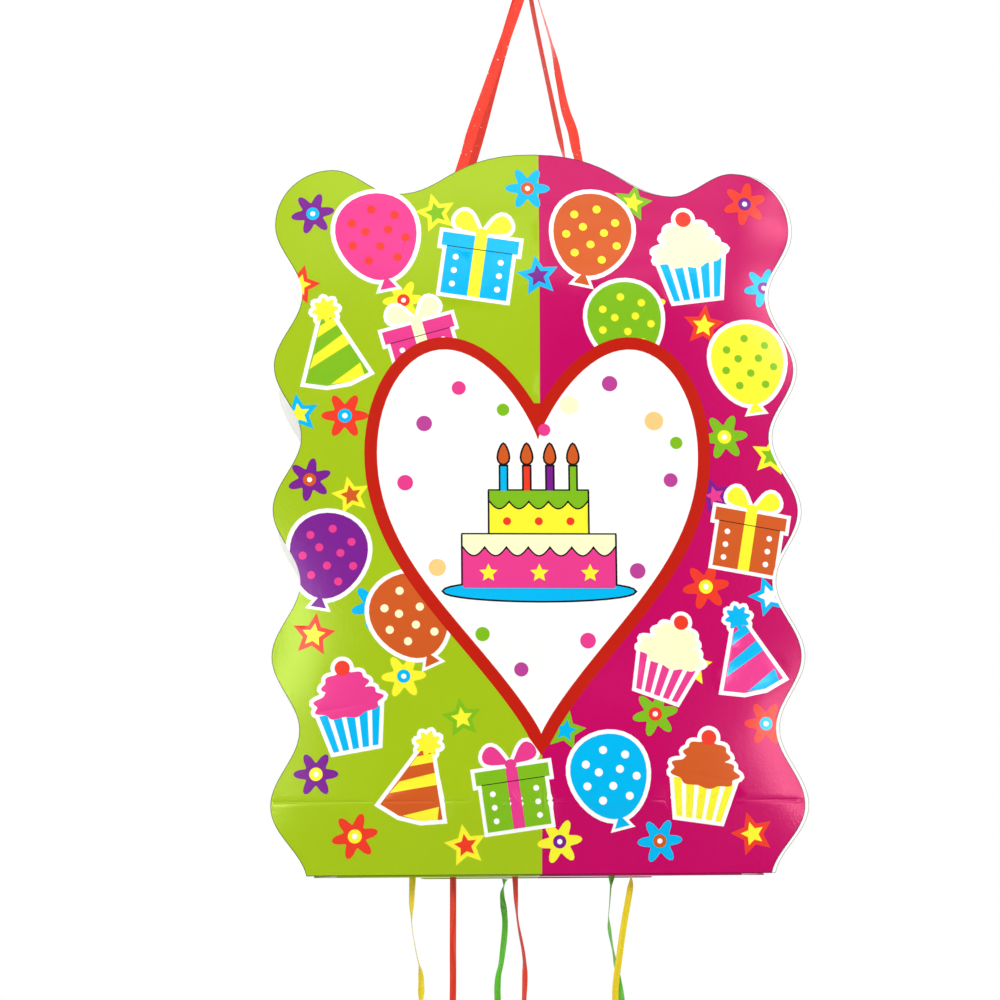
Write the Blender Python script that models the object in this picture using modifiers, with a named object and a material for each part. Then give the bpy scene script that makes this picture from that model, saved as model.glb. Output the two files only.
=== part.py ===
"""Hanging card pinata: two wavy printed faces on a folded card box, four hanging ribbons gathered in a
knot under a loop, and six pull ribbons, one of which opens the trapdoor in the bottom.

Metres, +Z up. The origin is where a hook bears inside the top of the hanging loop.
The box hangs below it, with its front face towards -Y.
"""

from math import cos, pi, sin, sqrt

import bmesh
import bpy
from mathutils import Matrix, Vector

# ---------------------------------------------------------------- driving dimensions

# Outline of the faces, measured from the middle of the bottom edge
face_height = 0.460
lobe_half_width = 0.1660
trough_half_width = 0.1484
foot_half_width = 0.1435
side_lobes = 5
lobe_pitch = 0.0922
lowest_lobe_height = 0.0427
corner_radius = 0.0368
top_trough_x = 0.0894
top_trough_height = 0.4324
board_reveal = 0.0026          # how far the white board shows past the print at the right

# The box behind them
box_depth = 0.090              # over both printed faces
side_wall_inset = 0.0084       # the side walls stand this far inside the troughs of the sides
side_fold_bulge = 0.0020       # the side walls' middle fold stands out by this
fold_height = 0.0450           # the fold across the faces
foot_tuck = 0.0020             # the faces lean in by this much at the foot
top_wall_inset = 0.0088        # the top lies this far below the troughs of the top edge
bottom_wall_drop = 0.0011      # the bottom hangs this far below the faces
glue_flap = 0.0130
end_tab = 0.0120
end_tab_half_width = 0.0380

# Card and clearances
print_sheet = 0.0003
board = 0.0008
wall_card = 0.0008
seat_gap = 0.0003

# Where it hangs
loop_length = 0.0400           # hook to the middle of the knot
hanger_height = 0.1495         # crest of the faces to the middle of the knot
loop_half_width = 0.0090
loop_closing = 0.94            # 1 would bring the loop's two ends together in the knot's middle
knot_radius = 0.0060
knot_half_width = 0.0080

# Hanging ribbons
hang_ribbon_width = 0.0070
hang_slots_centre = -0.0080
front_slot_spread = 0.0482
back_slot_spread = 0.0461
hang_slot_row = 0.0300
hang_slot = (0.0110, 0.0030)
strand_step = 0.0020           # spacing of the ribbons where they enter the knot
strand_lead = 0.0004           # gap between a ribbon's end and the round of the knot

# Fill opening, midway between the slots, and its flap
fill_opening_width = 0.0420
fill_opening_depth = 0.0380
fill_opening_middle = 0.0010
flap_overlap = 0.0040
flap_corner = 0.0100
thumb_notch = 0.0080

# Trapdoor
trapdoor_opening_width = 0.1340
trapdoor_opening_depth = 0.0520
trapdoor_opening_middle = 0.0080
door_overlap = 0.0050
door_corner = 0.0060

# Pull ribbons
pull_ribbon_width = 0.0040
ribbon_thickness = 0.0003
pull_slit = (0.0060, 0.0016)
pull_knot = (0.0045, 0.0030, 0.0028)
top_knot = (0.0060, 0.0040, 0.0034)
release_at = (-0.0200, -0.0120)
release_pivot_drop = 0.0010

# ---------------------------------------------------------------- worked-out places

base_z = -(loop_length + hanger_height + face_height)
box_origin = Vector((0, 0, base_z))
half_depth = box_depth / 2
box_half_width = trough_half_width - side_wall_inset
top_wall_height = top_trough_height - top_wall_inset
board_face = half_depth - print_sheet - seat_gap
flange_face = board_face - board - seat_gap
tray_half_width = box_half_width - wall_card - seat_gap
tray_flange_half_width = box_half_width - glue_flap - 0.0020
door_top = -bottom_wall_drop - seat_gap
flap_bottom = top_wall_height + seat_gap
knot_centre = Vector((0, 0, -loop_length))
deck_top = wall_card - bottom_wall_drop
side_wall_foot = deck_top + seat_gap
side_wall_head = top_wall_height - wall_card - seat_gap

# ---------------------------------------------------------------- scene and collections

for old in list(bpy.data.objects):
    bpy.data.objects.remove(old, do_unlink=True)

parts = bpy.data.collections.new("pinata")
cutters = bpy.data.collections.new("cutters")
for collection in (parts, cutters):
    bpy.context.scene.collection.children.link(collection)


def material(name, color, roughness, metallic=0.0):
    made = bpy.data.materials.new(name)
    made.use_nodes = True
    shader = made.node_tree.nodes["Principled BSDF"]
    shader.inputs["Base Color"].default_value = (*color, 1)
    shader.inputs["Roughness"].default_value = roughness
    shader.inputs["Metallic"].default_value = metallic
    made.diffuse_color = (*color, 1)
    return made


print_gloss = material("print_gloss", (0.62, 0.24, 0.16), 0.25)
white_board = material("white_board", (0.86, 0.85, 0.82), 0.75)
inner_card = material("inner_card", (0.78, 0.74, 0.66), 0.8)
printed_card = material("printed_card", (0.45, 0.42, 0.06), 0.3)
red_ribbon = material("red_ribbon", (0.80, 0.09, 0.03), 0.35)
orange_ribbon = material("orange_ribbon", (0.90, 0.10, 0.05), 0.45)
yellow_ribbon = material("yellow_ribbon", (0.85, 0.62, 0.02), 0.35)
green_ribbon = material("green_ribbon", (0.10, 0.48, 0.04), 0.35)


def add_part(name, mesh, finish, location=box_origin, collection=parts):
    made = bpy.data.objects.new(name, mesh)
    made.location = location
    made.data.materials.clear()
    made.data.materials.append(finish)
    collection.objects.link(made)
    return made


def mesh_from(bm, name):
    mesh = bpy.data.meshes.new(name)
    bm.to_mesh(mesh)
    bm.free()
    return mesh


def frozen(source):
    """The evaluated mesh of an object, welded, with the source object removed."""
    bpy.context.view_layer.update()
    graph = bpy.context.evaluated_depsgraph_get()
    mesh = bpy.data.meshes.new_from_object(source.evaluated_get(graph))
    bm = bmesh.new()
    bm.from_mesh(mesh)
    bmesh.ops.remove_doubles(bm, verts=bm.verts, dist=1e-6)
    bm.to_mesh(mesh)
    bm.free()
    bpy.data.objects.remove(source, do_unlink=True)
    return mesh


def lean_in(mesh):
    """Draw everything below the fold across the faces in towards the middle of the depth."""
    bm = bmesh.new()
    bm.from_mesh(mesh)
    bmesh.ops.bisect_plane(
        bm, geom=bm.verts[:] + bm.edges[:] + bm.faces[:], dist=1e-7,
        plane_co=(0, 0, fold_height), plane_no=(0, 0, 1),
    )
    for vert in bm.verts:
        below = max(0.0, fold_height - vert.co.z)
        vert.co.y *= 1 - foot_tuck / half_depth * below / fold_height
    bm.to_mesh(mesh)
    bm.free()
    return mesh


def block(size, centre):
    bm = bmesh.new()
    bmesh.ops.create_cube(bm, size=1, matrix=Matrix.Translation(centre) @ Matrix.Diagonal((*size, 1)))
    return bm


def cut(target, bm, name):
    """Cut the shape in bm out of target, which keeps the Boolean as a modifier."""
    cutter = add_part(name, mesh_from(bm, name), inner_card, target.location, cutters)
    cutter.hide_render = True
    cutter.display_type = "WIRE"
    boolean = target.modifiers.new(name, "BOOLEAN")
    boolean.operation = "DIFFERENCE"
    boolean.object = cutter


def rounded_block(size, centre, radius, which=lambda edge: True):
    """A block whose upright edges are rounded where which() says so."""
    bm = block(size, centre)
    upright = [
        edge for edge in bm.edges
        if abs(edge.verts[0].co.z - edge.verts[1].co.z) > 1e-6 and which(edge)
    ]
    bmesh.ops.bevel(bm, geom=upright, offset=radius, segments=5, profile=0.5, affect="EDGES")
    return bm


# ---------------------------------------------------------------- wavy faces

wave_handle = 0.364            # Bezier handle that makes half a cosine wave
round_handle = 0.552           # Bezier handle that makes a quarter circle
crest_handle = 0.620           # the crest is broader than a cosine


def right_half_turns():
    """Turning points down the right half: place, heading, and handle lengths before and after."""
    side = wave_handle * lobe_pitch / 2
    top_lobe_height = lowest_lobe_height + (side_lobes - 1) * lobe_pitch
    corner = (lobe_half_width - corner_radius, top_lobe_height + corner_radius)
    top_step = wave_handle * (corner[0] - top_trough_x)
    crest_out = crest_handle * top_trough_x
    turns = [
        ((0, face_height), (1, 0), crest_out, crest_out),
        ((top_trough_x, top_trough_height), (1, 0), wave_handle * top_trough_x, top_step),
        (corner, (1, 0), top_step, round_handle * corner_radius),
    ]
    before = round_handle * corner_radius
    for lobe in reversed(range(side_lobes)):
        height = lowest_lobe_height + lobe * lobe_pitch
        turns.append(((lobe_half_width, height), (0, -1), before, side))
        if lobe:
            turns.append(((trough_half_width, height - lobe_pitch / 2), (0, -1), side, side))
        before = side
    foot = Vector((-0.22, -1)).normalized()
    turns.append(((foot_half_width, 0), tuple(foot), wave_handle * lowest_lobe_height, 0))
    return turns


def wavy_sheet(name, thickness, outer_y, reveal=0.0):
    """A face's outline as a flat closed curve, thickened away from outer_y towards the box's middle."""
    turns = right_half_turns()
    loop = [(Vector(at), Vector(way), before, after) for at, way, before, after in turns]
    for at, way, before, after in reversed(turns[1:]):
        loop.append((Vector((-at[0], at[1])), Vector((way[0], -way[1])), after, before))
    curve = bpy.data.curves.new(name, "CURVE")
    curve.dimensions = "2D"
    curve.fill_mode = "BOTH"
    curve.extrude = thickness / 2
    curve.resolution_u = 7
    spline = curve.splines.new("BEZIER")
    spline.bezier_points.add(len(loop) - 1)
    spline.use_cyclic_u = True
    for point, (at, way, before, after) in zip(spline.bezier_points, loop):
        shifted = at + Vector((reveal if at.x > 0 else 0, 0))
        point.handle_left_type = point.handle_right_type = "FREE"
        point.co = (*shifted, 0)
        point.handle_left = (*(shifted - way * before), 0)
        point.handle_right = (*(shifted + way * after), 0)
    source = bpy.data.objects.new(name, curve)
    parts.objects.link(source)
    mesh = frozen(source)
    towards_middle = -1 if outer_y > 0 else 1
    middle_y = outer_y + towards_middle * thickness / 2
    mesh.transform(Matrix.Translation((0, middle_y, 0)) @ Matrix.Rotation(pi / 2, 4, "X"))
    return lean_in(mesh)


add_part("front_print", wavy_sheet("front_print", print_sheet, -half_depth), print_gloss)
add_part("front_board", wavy_sheet("front_board", board, -board_face, board_reveal), white_board)
add_part("back_board", wavy_sheet("back_board", board, board_face, board_reveal), white_board)
add_part("back_print", wavy_sheet("back_print", print_sheet, half_depth), print_gloss)

# ---------------------------------------------------------------- side walls


def side_wall(name, side):
    """A folded channel: glue flap, front half, back half, glue flap, open towards the box's middle."""
    flap_x = box_half_width - glue_flap
    profile = [
        (flap_x, -flange_face),
        (box_half_width, -flange_face),
        (box_half_width + side_fold_bulge, 0),
        (box_half_width, flange_face),
        (flap_x, flange_face),
    ]
    bm = bmesh.new()
    foot = [bm.verts.new((side * x, y, side_wall_foot)) for x, y in profile]
    edges = [bm.edges.new(pair) for pair in zip(foot, foot[1:])]
    raised = bmesh.ops.extrude_edge_only(bm, edges=edges)
    lifted = [item for item in raised["geom"] if isinstance(item, bmesh.types.BMVert)]
    bmesh.ops.translate(bm, verts=lifted, vec=(0, 0, side_wall_head - side_wall_foot))
    bmesh.ops.recalc_face_normals(bm, faces=bm.faces)
    outer = max(bm.faces, key=lambda face: abs(face.calc_center_median().x))
    if outer.normal.x * side < 0:
        bmesh.ops.reverse_faces(bm, faces=bm.faces)
    wall = add_part(name, mesh_from(bm, name), inner_card)
    thicken(wall)
    return add_part(name, lean_in(frozen(wall)), inner_card)


def thicken(target):
    solidify = target.modifiers.new("card", "SOLIDIFY")
    solidify.thickness = wall_card
    solidify.offset = -1
    solidify.use_even_offset = True


side_wall("left_wall", -1)
side_wall("right_wall", 1)

# ---------------------------------------------------------------- folded top and bottom


def tray(name, height, turn):
    """A card panel at height with a glue flap along each long side and a tab at each end.
    turn is +1 where they fold up and -1 where they fold down."""
    bm = bmesh.new()
    bmesh.ops.create_grid(bm, x_segments=3, y_segments=3, size=1)
    for vert in bm.verts:
        wide, deep = abs(vert.co.x) > 0.9, abs(vert.co.y) > 0.9
        x = tray_half_width if wide else tray_flange_half_width
        y = flange_face if deep else end_tab_half_width
        vert.co = (x if vert.co.x > 0 else -x, y if vert.co.y > 0 else -y, height)
    for edge in list(bm.edges):
        middle = (edge.verts[0].co + edge.verts[1].co) / 2
        along_side = abs(middle.x) < 1e-6 and abs(abs(middle.y) - flange_face) < 1e-6
        along_end = abs(middle.y) < 1e-6 and abs(abs(middle.x) - tray_half_width) < 1e-6
        if not (along_side or along_end):
            continue
        raised = bmesh.ops.extrude_edge_only(bm, edges=[edge])
        lifted = [item for item in raised["geom"] if isinstance(item, bmesh.types.BMVert)]
        rise = glue_flap if along_side else end_tab
        bmesh.ops.translate(bm, verts=lifted, vec=(0, 0, turn * rise))
    bmesh.ops.recalc_face_normals(bm, faces=bm.faces)
    deck = min(bm.faces, key=lambda face: (face.calc_center_median() - Vector((0, 0, height))).length)
    if deck.normal.z * turn > 0:
        bmesh.ops.reverse_faces(bm, faces=bm.faces)
    folded = add_part(name, mesh_from(bm, name), inner_card)
    thicken(folded)
    return add_part(name, lean_in(frozen(folded)), inner_card)


def cut_slot(target, name, size, x, y, height):
    cut(target, block((*size, 6 * wall_card), (x, y, height)), name)


top_wall = tray("top_wall", top_wall_height, -1)
fill_middle = (hang_slots_centre, fill_opening_middle, top_wall_height)
cut(
    top_wall,
    rounded_block((fill_opening_width, fill_opening_depth, 6 * wall_card), fill_middle, flap_corner / 2),
    "fill_cutter",
)

bottom_wall = tray("bottom_wall", -bottom_wall_drop, 1)
door_middle = (0, trapdoor_opening_middle)
cut(
    bottom_wall,
    rounded_block(
        (trapdoor_opening_width, trapdoor_opening_depth, 6 * wall_card),
        (*door_middle, -bottom_wall_drop), door_corner / 2,
    ),
    "trapdoor_cutter",
)

# ---------------------------------------------------------------- fill flap and trapdoor


def lid(name, opening, overlap, corner, face_z, turn, finish):
    """A card plate over an opening, its origin on the hinge line along its back edge.
    turn is +1 where it lies on top and -1 where it hangs underneath."""
    width, depth, middle_x, middle_y = opening
    hinge = Vector((middle_x, middle_y + depth / 2 + overlap, face_z))
    size = (width + 2 * overlap, depth + 2 * overlap, wall_card)
    centre = (0, -size[1] / 2, turn * wall_card / 2)

    def free_edge(edge):
        return edge.verts[0].co.y < -size[1] / 2

    plate = rounded_block(size, centre, corner, free_edge)
    return add_part(name, mesh_from(plate, name), finish, box_origin + hinge), hinge


fill_flap, _ = lid(
    "fill_flap",
    (fill_opening_width, fill_opening_depth, fill_middle[0], fill_middle[1]),
    flap_overlap, flap_corner, flap_bottom, 1, inner_card,
)
notch = bmesh.new()
bmesh.ops.create_cone(
    notch, cap_ends=True, segments=24, radius1=thumb_notch, radius2=thumb_notch, depth=6 * wall_card,
    matrix=Matrix.Translation((0, -fill_opening_depth - 2 * flap_overlap, 0)),
)
cut(fill_flap, notch, "thumb_cutter")

trapdoor, door_hinge = lid(
    "trapdoor",
    (trapdoor_opening_width, trapdoor_opening_depth, *door_middle),
    door_overlap, door_corner, door_top, -1, printed_card,
)
release_x, release_y = release_at
cut(
    trapdoor,
    block((*pull_slit, 6 * wall_card), (release_x - door_hinge.x, release_y - door_hinge.y, 0)),
    "release_slit_cutter",
)

# ---------------------------------------------------------------- ribbons


def through(points, step):
    """Points every step along a smooth (Catmull-Rom) curve through the given ones."""
    points = [Vector(point) for point in points]
    padded = [2 * points[0] - points[1], *points, 2 * points[-1] - points[-2]]
    smooth = [points[0]]
    for a, b, c, d in zip(padded, padded[1:], padded[2:], padded[3:]):
        count = max(1, round((c - b).length / step))
        for i in range(1, count + 1):
            t = i / count
            smooth.append(0.5 * (
                2 * b + (c - a) * t + (2 * a - 5 * b + 4 * c - d) * t ** 2
                + (3 * b - a - 3 * c + d) * t ** 3
            ))
    return smooth


def ribbon(name, points, width, finish, location, across=(1, 0, 0)):
    """A flat ribbon: an edge of the given width, laid across, drawn along the points and thickened."""
    half = Vector(across) * width / 2
    bm = bmesh.new()
    rows = [(bm.verts.new(Vector(p) - half), bm.verts.new(Vector(p) + half)) for p in points]
    for (left, right), (next_left, next_right) in zip(rows, rows[1:]):
        bm.faces.new((left, right, next_right, next_left))
    made = add_part(name, mesh_from(bm, name), finish, location)
    solidify = made.modifiers.new("thickness", "SOLIDIFY")
    solidify.thickness = ribbon_thickness
    solidify.offset = 0
    solidify.use_even_offset = True
    return made


def knot(name, size, centre, finish, location=box_origin):
    bm = bmesh.new()
    bmesh.ops.create_uvsphere(bm, u_segments=14, v_segments=8, radius=1)
    bmesh.ops.transform(bm, verts=bm.verts, matrix=Matrix.Diagonal((*size, 1)))
    made = add_part(name, mesh_from(bm, name), finish, location + Vector(centre))
    made.data.shade_smooth()
    return made


# The hanging knot is round about the swing axis, so that the box turns below it
knot("hang_knot", (knot_half_width, knot_radius, knot_radius), (0, 0, 0), orange_ribbon, knot_centre)

rise = loop_length - knot_radius - seat_gap


def loop_point(u):
    """A teardrop: 0 at the top where the hook bears, -1 and +1 where its ends meet the knot."""
    drop = rise * (1 - cos(pi / 2 * u))
    return Vector((loop_half_width * sin(pi * loop_closing * u), 0, ribbon_thickness / 2 - drop))


loop_points = [loop_point(i / 14) for i in range(-14, 15)]
ribbon("hang_loop", loop_points, hang_ribbon_width, orange_ribbon, Vector((0, 0, 0)), (0, 1, 0))

# Each hanging ribbon: its slot's place across and along the top, then where it enters the knot
strands = {
    "front_left": (-front_slot_spread, -hang_slot_row, 0.0022, -1.5 * strand_step),
    "front_right": (front_slot_spread, -hang_slot_row, 0.0021, -0.5 * strand_step),
    "back_left": (-back_slot_spread, hang_slot_row, -0.0002, 0.5 * strand_step),
    "back_right": (back_slot_spread, hang_slot_row, -0.0001, 1.5 * strand_step),
}
under_top = base_z + top_wall_height - wall_card - seat_gap
for place, (spread, row, entry_x, entry_y) in strands.items():
    foot = Vector((hang_slots_centre + spread, row, under_top))
    head_drop = sqrt((knot_radius + seat_gap + strand_lead) ** 2 - entry_y ** 2)
    head = knot_centre + Vector((entry_x, entry_y, -head_drop))
    route = [foot.lerp(head, t) for t in (0, 0.25, 0.5, 0.75, 1)]
    ribbon("hang_ribbon_" + place, route, hang_ribbon_width, orange_ribbon, Vector((0, 0, 0)))
    knot(
        "top_knot_" + place, top_knot, (0, 0, -top_knot[2] - seat_gap), orange_ribbon, foot,
    )
    cut_slot(top_wall, "slot_cutter_" + place, hang_slot, foot.x, row, top_wall_height)

# Pull ribbons: exit on the bottom (across, and behind the front face), then the way each hangs from
# there, chosen by hand
pull_ribbons = {
    "yellow_left": ((-0.0784, 0.0140), yellow_ribbon, [
        (0, 0, 0), (-0.0006, 0, -0.026), (0.0020, 0.002, -0.045), (0.0050, 0.001, -0.060),
        (0.0050, 0, -0.080), (0.0030, -0.003, -0.135), (0.0060, 0.002, -0.200),
        (0.0020, 0.001, -0.265), (0.0030, 0, -0.325),
    ]),
    "red_left": ((-0.0533, 0.0130), red_ribbon, [
        (0, 0, 0), (-0.0003, 0, -0.040), (-0.0006, 0.001, -0.080), (-0.0030, 0.002, -0.140),
        (0.0010, -0.001, -0.205), (-0.0030, 0, -0.270), (-0.0010, 0, -0.335),
    ]),
    "red_middle": ((-0.0150, 0.0130), red_ribbon, [
        (0, 0, 0), (0.0012, 0, -0.026), (0.0050, 0.001, -0.048), (0.0056, 0, -0.062),
        (0.0048, 0, -0.080), (0.0020, 0.002, -0.140), (0.0060, -0.001, -0.205),
        (0.0030, 0, -0.260), (0.0040, 0, -0.315),
    ]),
    "green_right": ((0.0455, 0.0160), green_ribbon, [
        (0, 0, 0), (-0.0013, 0.001, -0.017), (-0.0020, 0.002, -0.031), (0.0010, 0.003, -0.050),
        (0.0040, 0.003, -0.066), (0.0060, 0.003, -0.085), (0.0100, 0.002, -0.140),
        (0.0070, 0.003, -0.205), (0.0100, 0.002, -0.265), (0.0080, 0.002, -0.325),
    ]),
    "yellow_right": ((0.0570, 0.0105), yellow_ribbon, [
        (0, 0, 0), (-0.0006, 0, -0.008), (-0.0050, 0, -0.031), (-0.0085, -0.001, -0.052),
        (-0.0108, -0.001, -0.068), (-0.0112, -0.001, -0.080), (-0.0130, -0.003, -0.140),
        (-0.0090, -0.001, -0.205), (-0.0120, -0.002, -0.270), (-0.0110, -0.002, -0.335),
    ]),
}
release_route = [
    (0, 0, 0), (-0.0018, 0, -0.010), (-0.0002, 0, -0.028), (-0.0026, 0, -0.050),
    (-0.0050, 0, -0.062), (-0.0050, 0, -0.080), (-0.0020, 0.002, -0.140),
    (-0.0060, 0.001, -0.205), (-0.0020, 0, -0.270), (-0.0030, 0, -0.330),
]
ribbon_step = 0.009
for place, ((exit_x, behind_face), finish, route) in pull_ribbons.items():
    exit_y = behind_face - half_depth
    start = box_origin + Vector((exit_x, exit_y, deck_top + seat_gap))
    ribbon("pull_ribbon_" + place, through(route, ribbon_step), pull_ribbon_width, finish, start)
    knot_z = deck_top + 2 * seat_gap + pull_knot[2]
    knot("pull_knot_" + place, pull_knot, (exit_x, exit_y, knot_z), finish)
    cut_slot(bottom_wall, "slit_cutter_" + place, pull_slit, exit_x, exit_y, -bottom_wall_drop)

door_bottom = door_top - wall_card
release_pivot = box_origin + Vector((release_x, release_y, door_bottom - release_pivot_drop))
hung = [(x, y, z + release_pivot_drop - seat_gap) for x, y, z in release_route]
ribbon("release_ribbon", through(hung, ribbon_step), pull_ribbon_width, green_ribbon, release_pivot)
release_knot_z = door_top + seat_gap + pull_knot[2]
knot("release_knot", pull_knot, (release_x, release_y, release_knot_z), green_ribbon)
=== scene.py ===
from math import pi, radians

import bmesh
import bpy
import numpy as np
from mathutils import Matrix, Vector
from mathutils.geometry import delaunay_2d_cdt


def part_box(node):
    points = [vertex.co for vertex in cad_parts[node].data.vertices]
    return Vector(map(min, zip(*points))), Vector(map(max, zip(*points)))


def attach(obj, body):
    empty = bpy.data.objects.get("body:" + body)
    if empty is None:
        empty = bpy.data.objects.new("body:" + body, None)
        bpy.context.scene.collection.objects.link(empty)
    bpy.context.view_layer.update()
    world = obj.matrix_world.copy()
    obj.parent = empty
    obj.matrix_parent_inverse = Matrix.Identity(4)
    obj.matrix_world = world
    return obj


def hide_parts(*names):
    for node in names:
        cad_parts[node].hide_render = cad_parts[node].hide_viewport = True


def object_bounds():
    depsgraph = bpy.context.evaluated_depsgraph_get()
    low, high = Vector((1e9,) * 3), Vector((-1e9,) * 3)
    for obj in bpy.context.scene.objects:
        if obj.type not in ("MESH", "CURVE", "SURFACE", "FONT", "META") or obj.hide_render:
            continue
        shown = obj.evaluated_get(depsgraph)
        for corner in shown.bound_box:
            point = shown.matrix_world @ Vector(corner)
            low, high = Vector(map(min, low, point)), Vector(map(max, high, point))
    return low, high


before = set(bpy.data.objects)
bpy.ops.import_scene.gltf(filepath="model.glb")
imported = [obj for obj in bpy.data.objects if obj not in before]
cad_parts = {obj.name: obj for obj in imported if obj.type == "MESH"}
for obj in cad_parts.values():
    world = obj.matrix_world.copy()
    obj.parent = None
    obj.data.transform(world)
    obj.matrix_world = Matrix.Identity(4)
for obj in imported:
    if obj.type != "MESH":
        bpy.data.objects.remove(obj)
cadLow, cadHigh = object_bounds()

# The faces' middle, foot and size come from the frame. The front face looks towards -Y.
faceLow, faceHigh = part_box("front_print")
faceX = (faceLow.x + faceHigh.x) / 2
faceZ = faceLow.z
faceTall = faceHigh.z - faceLow.z
faceY = -faceLow.y
ribbonThick = 0.0003


# A colour written as sRGB 0 to 255, turned to the linear values that shaders take
def linear(color):
    share = np.asarray(color, float) / 255
    return np.where(share < 0.04045, share / 12.92, ((share + 0.055) / 1.055) ** 2.4)


# A node with its own values set, and its sockets linked or given plain values
def addNode(tree, kind, sockets=None, **values):
    node = tree.nodes.new(kind)
    for label, value in values.items():
        setattr(node, label, value)
    for label, source in (sockets or {}).items():
        if isinstance(source, bpy.types.NodeSocket):
            tree.links.new(source, node.inputs[label])
        else:
            node.inputs[label].default_value = source
    return node


# What a maths node makes of its values
def calculate(tree, operation, *values):
    return addNode(tree, "ShaderNodeMath", dict(enumerate(values)), operation=operation).outputs[0]


def addObject(name, data):
    made = bpy.data.objects.new(name, data)
    bpy.context.scene.collection.objects.link(made)
    return made


# A material with its tree and its shader. A socket's name is given with _ for each space.
def newMaterial(name, **sockets):
    made = bpy.data.materials.new(name)
    made.use_nodes = True
    shader = made.node_tree.nodes["Principled BSDF"]
    for label, value in sockets.items():
        shader.inputs[label.replace("_", " ")].default_value = value
    return made, made.node_tree, shader


stageSettings = {
    "eye": (-0.1024, -1.4242, 0),   # from the middle of the front face's foot
    "pitch": 9.287,
    "yaw": 3.180,
    "roll": 0.427,
    "lens": 82.56,
    "floorDrop": 0.06,          # the floor lies this far under the lowest ribbon end
    "floorHalf": 2.4,
    "floorColor": (0.86, 0.86, 0.85, 1),
    "worldLight": 0.27,
    "flagBehind": 1.9,          # a dark card this far behind the camera, seen only by reflections
    "flagMiddle": 0.05,
    "flagHalf": 0.90,
    "flagTop": 1.28,            # over the faces' foot
    "flagTall": 4,
    "flagColor": (0.01, 0.01, 0.01, 1),
}

# Name, place, size across and up, watts, tint, and a limit: a "gloss" lamp shows in reflections and
# doesn't light the matt part, and a "matt" lamp does the opposite
lamps = [
    ("overhead", (0.05, -1.2, 0.95), (1.4, 0.7), 11.5, (1, 1, 1), None),
    ("window", (0.25, -3.35, 1.08), (1.8, 0.6), 9, (1, 1, 1), None),
    ("key", (0.1, -4.3, 4.0), (2.4, 2.4), 188, (1, 1, 1), "matt"),
    ("rightStrip", (1.26, -1.94, 0.34), (0.46, 0.32), 8, (1.0, 0.93, 0.91), "gloss"),
    ("rightStrip", (1.26, -1.94, -0.42), (0.46, 0.32), 8, (1.0, 0.93, 0.91), "gloss"),
    ("sideFill", (-2.5, 0.4, 0.1), (1.2, 1.6), 15, (1, 1, 1), None),
    ("sideFill", (2.5, 0.4, 0.1), (1.2, 1.6), 15, (1, 1, 1), None),
    ("backFill", (0.5, 2.3, 0.5), (2.0, 1.2), 26, (1, 1, 1), None),
    ("leftStrip", (-0.87, -2.25, -0.24), (0.34, 0.32), 6.5, (0.94, 1.0, 0.92), "gloss"),
    ("leftFill", (-2.2, -1.3, 0.0), (0.8, 1.2), 5, (1, 1, 1), None),
]


def addCamera(settings):
    data = bpy.data.cameras.new("camera")
    data.lens = settings["lens"]
    data.sensor_width = 36
    data.clip_start = 0.05
    camera = addObject("camera", data)
    turn = Matrix.Rotation(radians(-settings["yaw"]), 4, "Z")
    tilt = Matrix.Rotation(radians(90 + settings["pitch"]), 4, "X")
    lean = Matrix.Rotation(radians(-settings["roll"]), 4, "Z")
    eye = Vector((faceX, -faceY, faceZ)) + Vector(settings["eye"])
    camera.matrix_world = Matrix.Translation(eye) @ turn @ tilt @ lean
    bpy.context.scene.camera = camera


# A soft lamp aimed at a point
def addLamp(name, place, target, size, power, tint, limit):
    data = bpy.data.lights.new(name, "AREA")
    data.color = tint
    data.shape = "RECTANGLE"
    data.size, data.size_y = size
    data.energy = power
    lamp = addObject(name, data)
    lamp.location = place
    lamp.rotation_euler = (Vector(target) - Vector(place)).to_track_quat("-Z", "Y").to_euler()
    lamp.visible_diffuse = limit != "gloss"
    lamp.visible_glossy = limit != "matt"


# White as the camera, reflections and clear things see it, and dimmer as a light
def addWorld(strength):
    world = bpy.data.worlds.new("studio")
    bpy.context.scene.world = world
    world.use_nodes = True
    tree = world.node_tree
    ray = addNode(tree, "ShaderNodeLightPath").outputs
    either = calculate(tree, "MAXIMUM", ray["Is Camera Ray"], ray["Is Glossy Ray"])
    seen = calculate(tree, "MAXIMUM", either, ray["Is Transmission Ray"])
    level = addNode(tree, "ShaderNodeMapRange", {"Value": seen, "To Min": strength, "To Max": 1.0})
    background = tree.nodes["Background"]
    background.inputs["Color"].default_value = (1, 1, 1, 1)
    tree.links.new(level.outputs["Result"], background.inputs["Strength"])


# A round floor, pale from above and clear from below
def addFloor(settings, lowest):
    bm = bmesh.new()
    place = Matrix.Translation((faceX, 0, lowest - settings["floorDrop"]))
    bmesh.ops.create_circle(bm, cap_ends=True, segments=96, radius=settings["floorHalf"], matrix=place)
    mesh = bpy.data.meshes.new("floor")
    bm.to_mesh(mesh)
    bm.free()
    floor = addObject("floor", mesh)
    made, tree, shader = newMaterial("paleFloor", Base_Color=settings["floorColor"], Roughness=0.9)
    clear = addNode(tree, "ShaderNodeBsdfTransparent")
    facing = addNode(tree, "ShaderNodeNewGeometry").outputs["Backfacing"]
    chosen = addNode(tree, "ShaderNodeMixShader", {0: facing, 1: shader.outputs[0], 2: clear.outputs[0]})
    tree.links.new(chosen.outputs[0], tree.nodes["Material Output"].inputs["Surface"])
    mesh.materials.append(made)
    floor.visible_glossy = False


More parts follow.
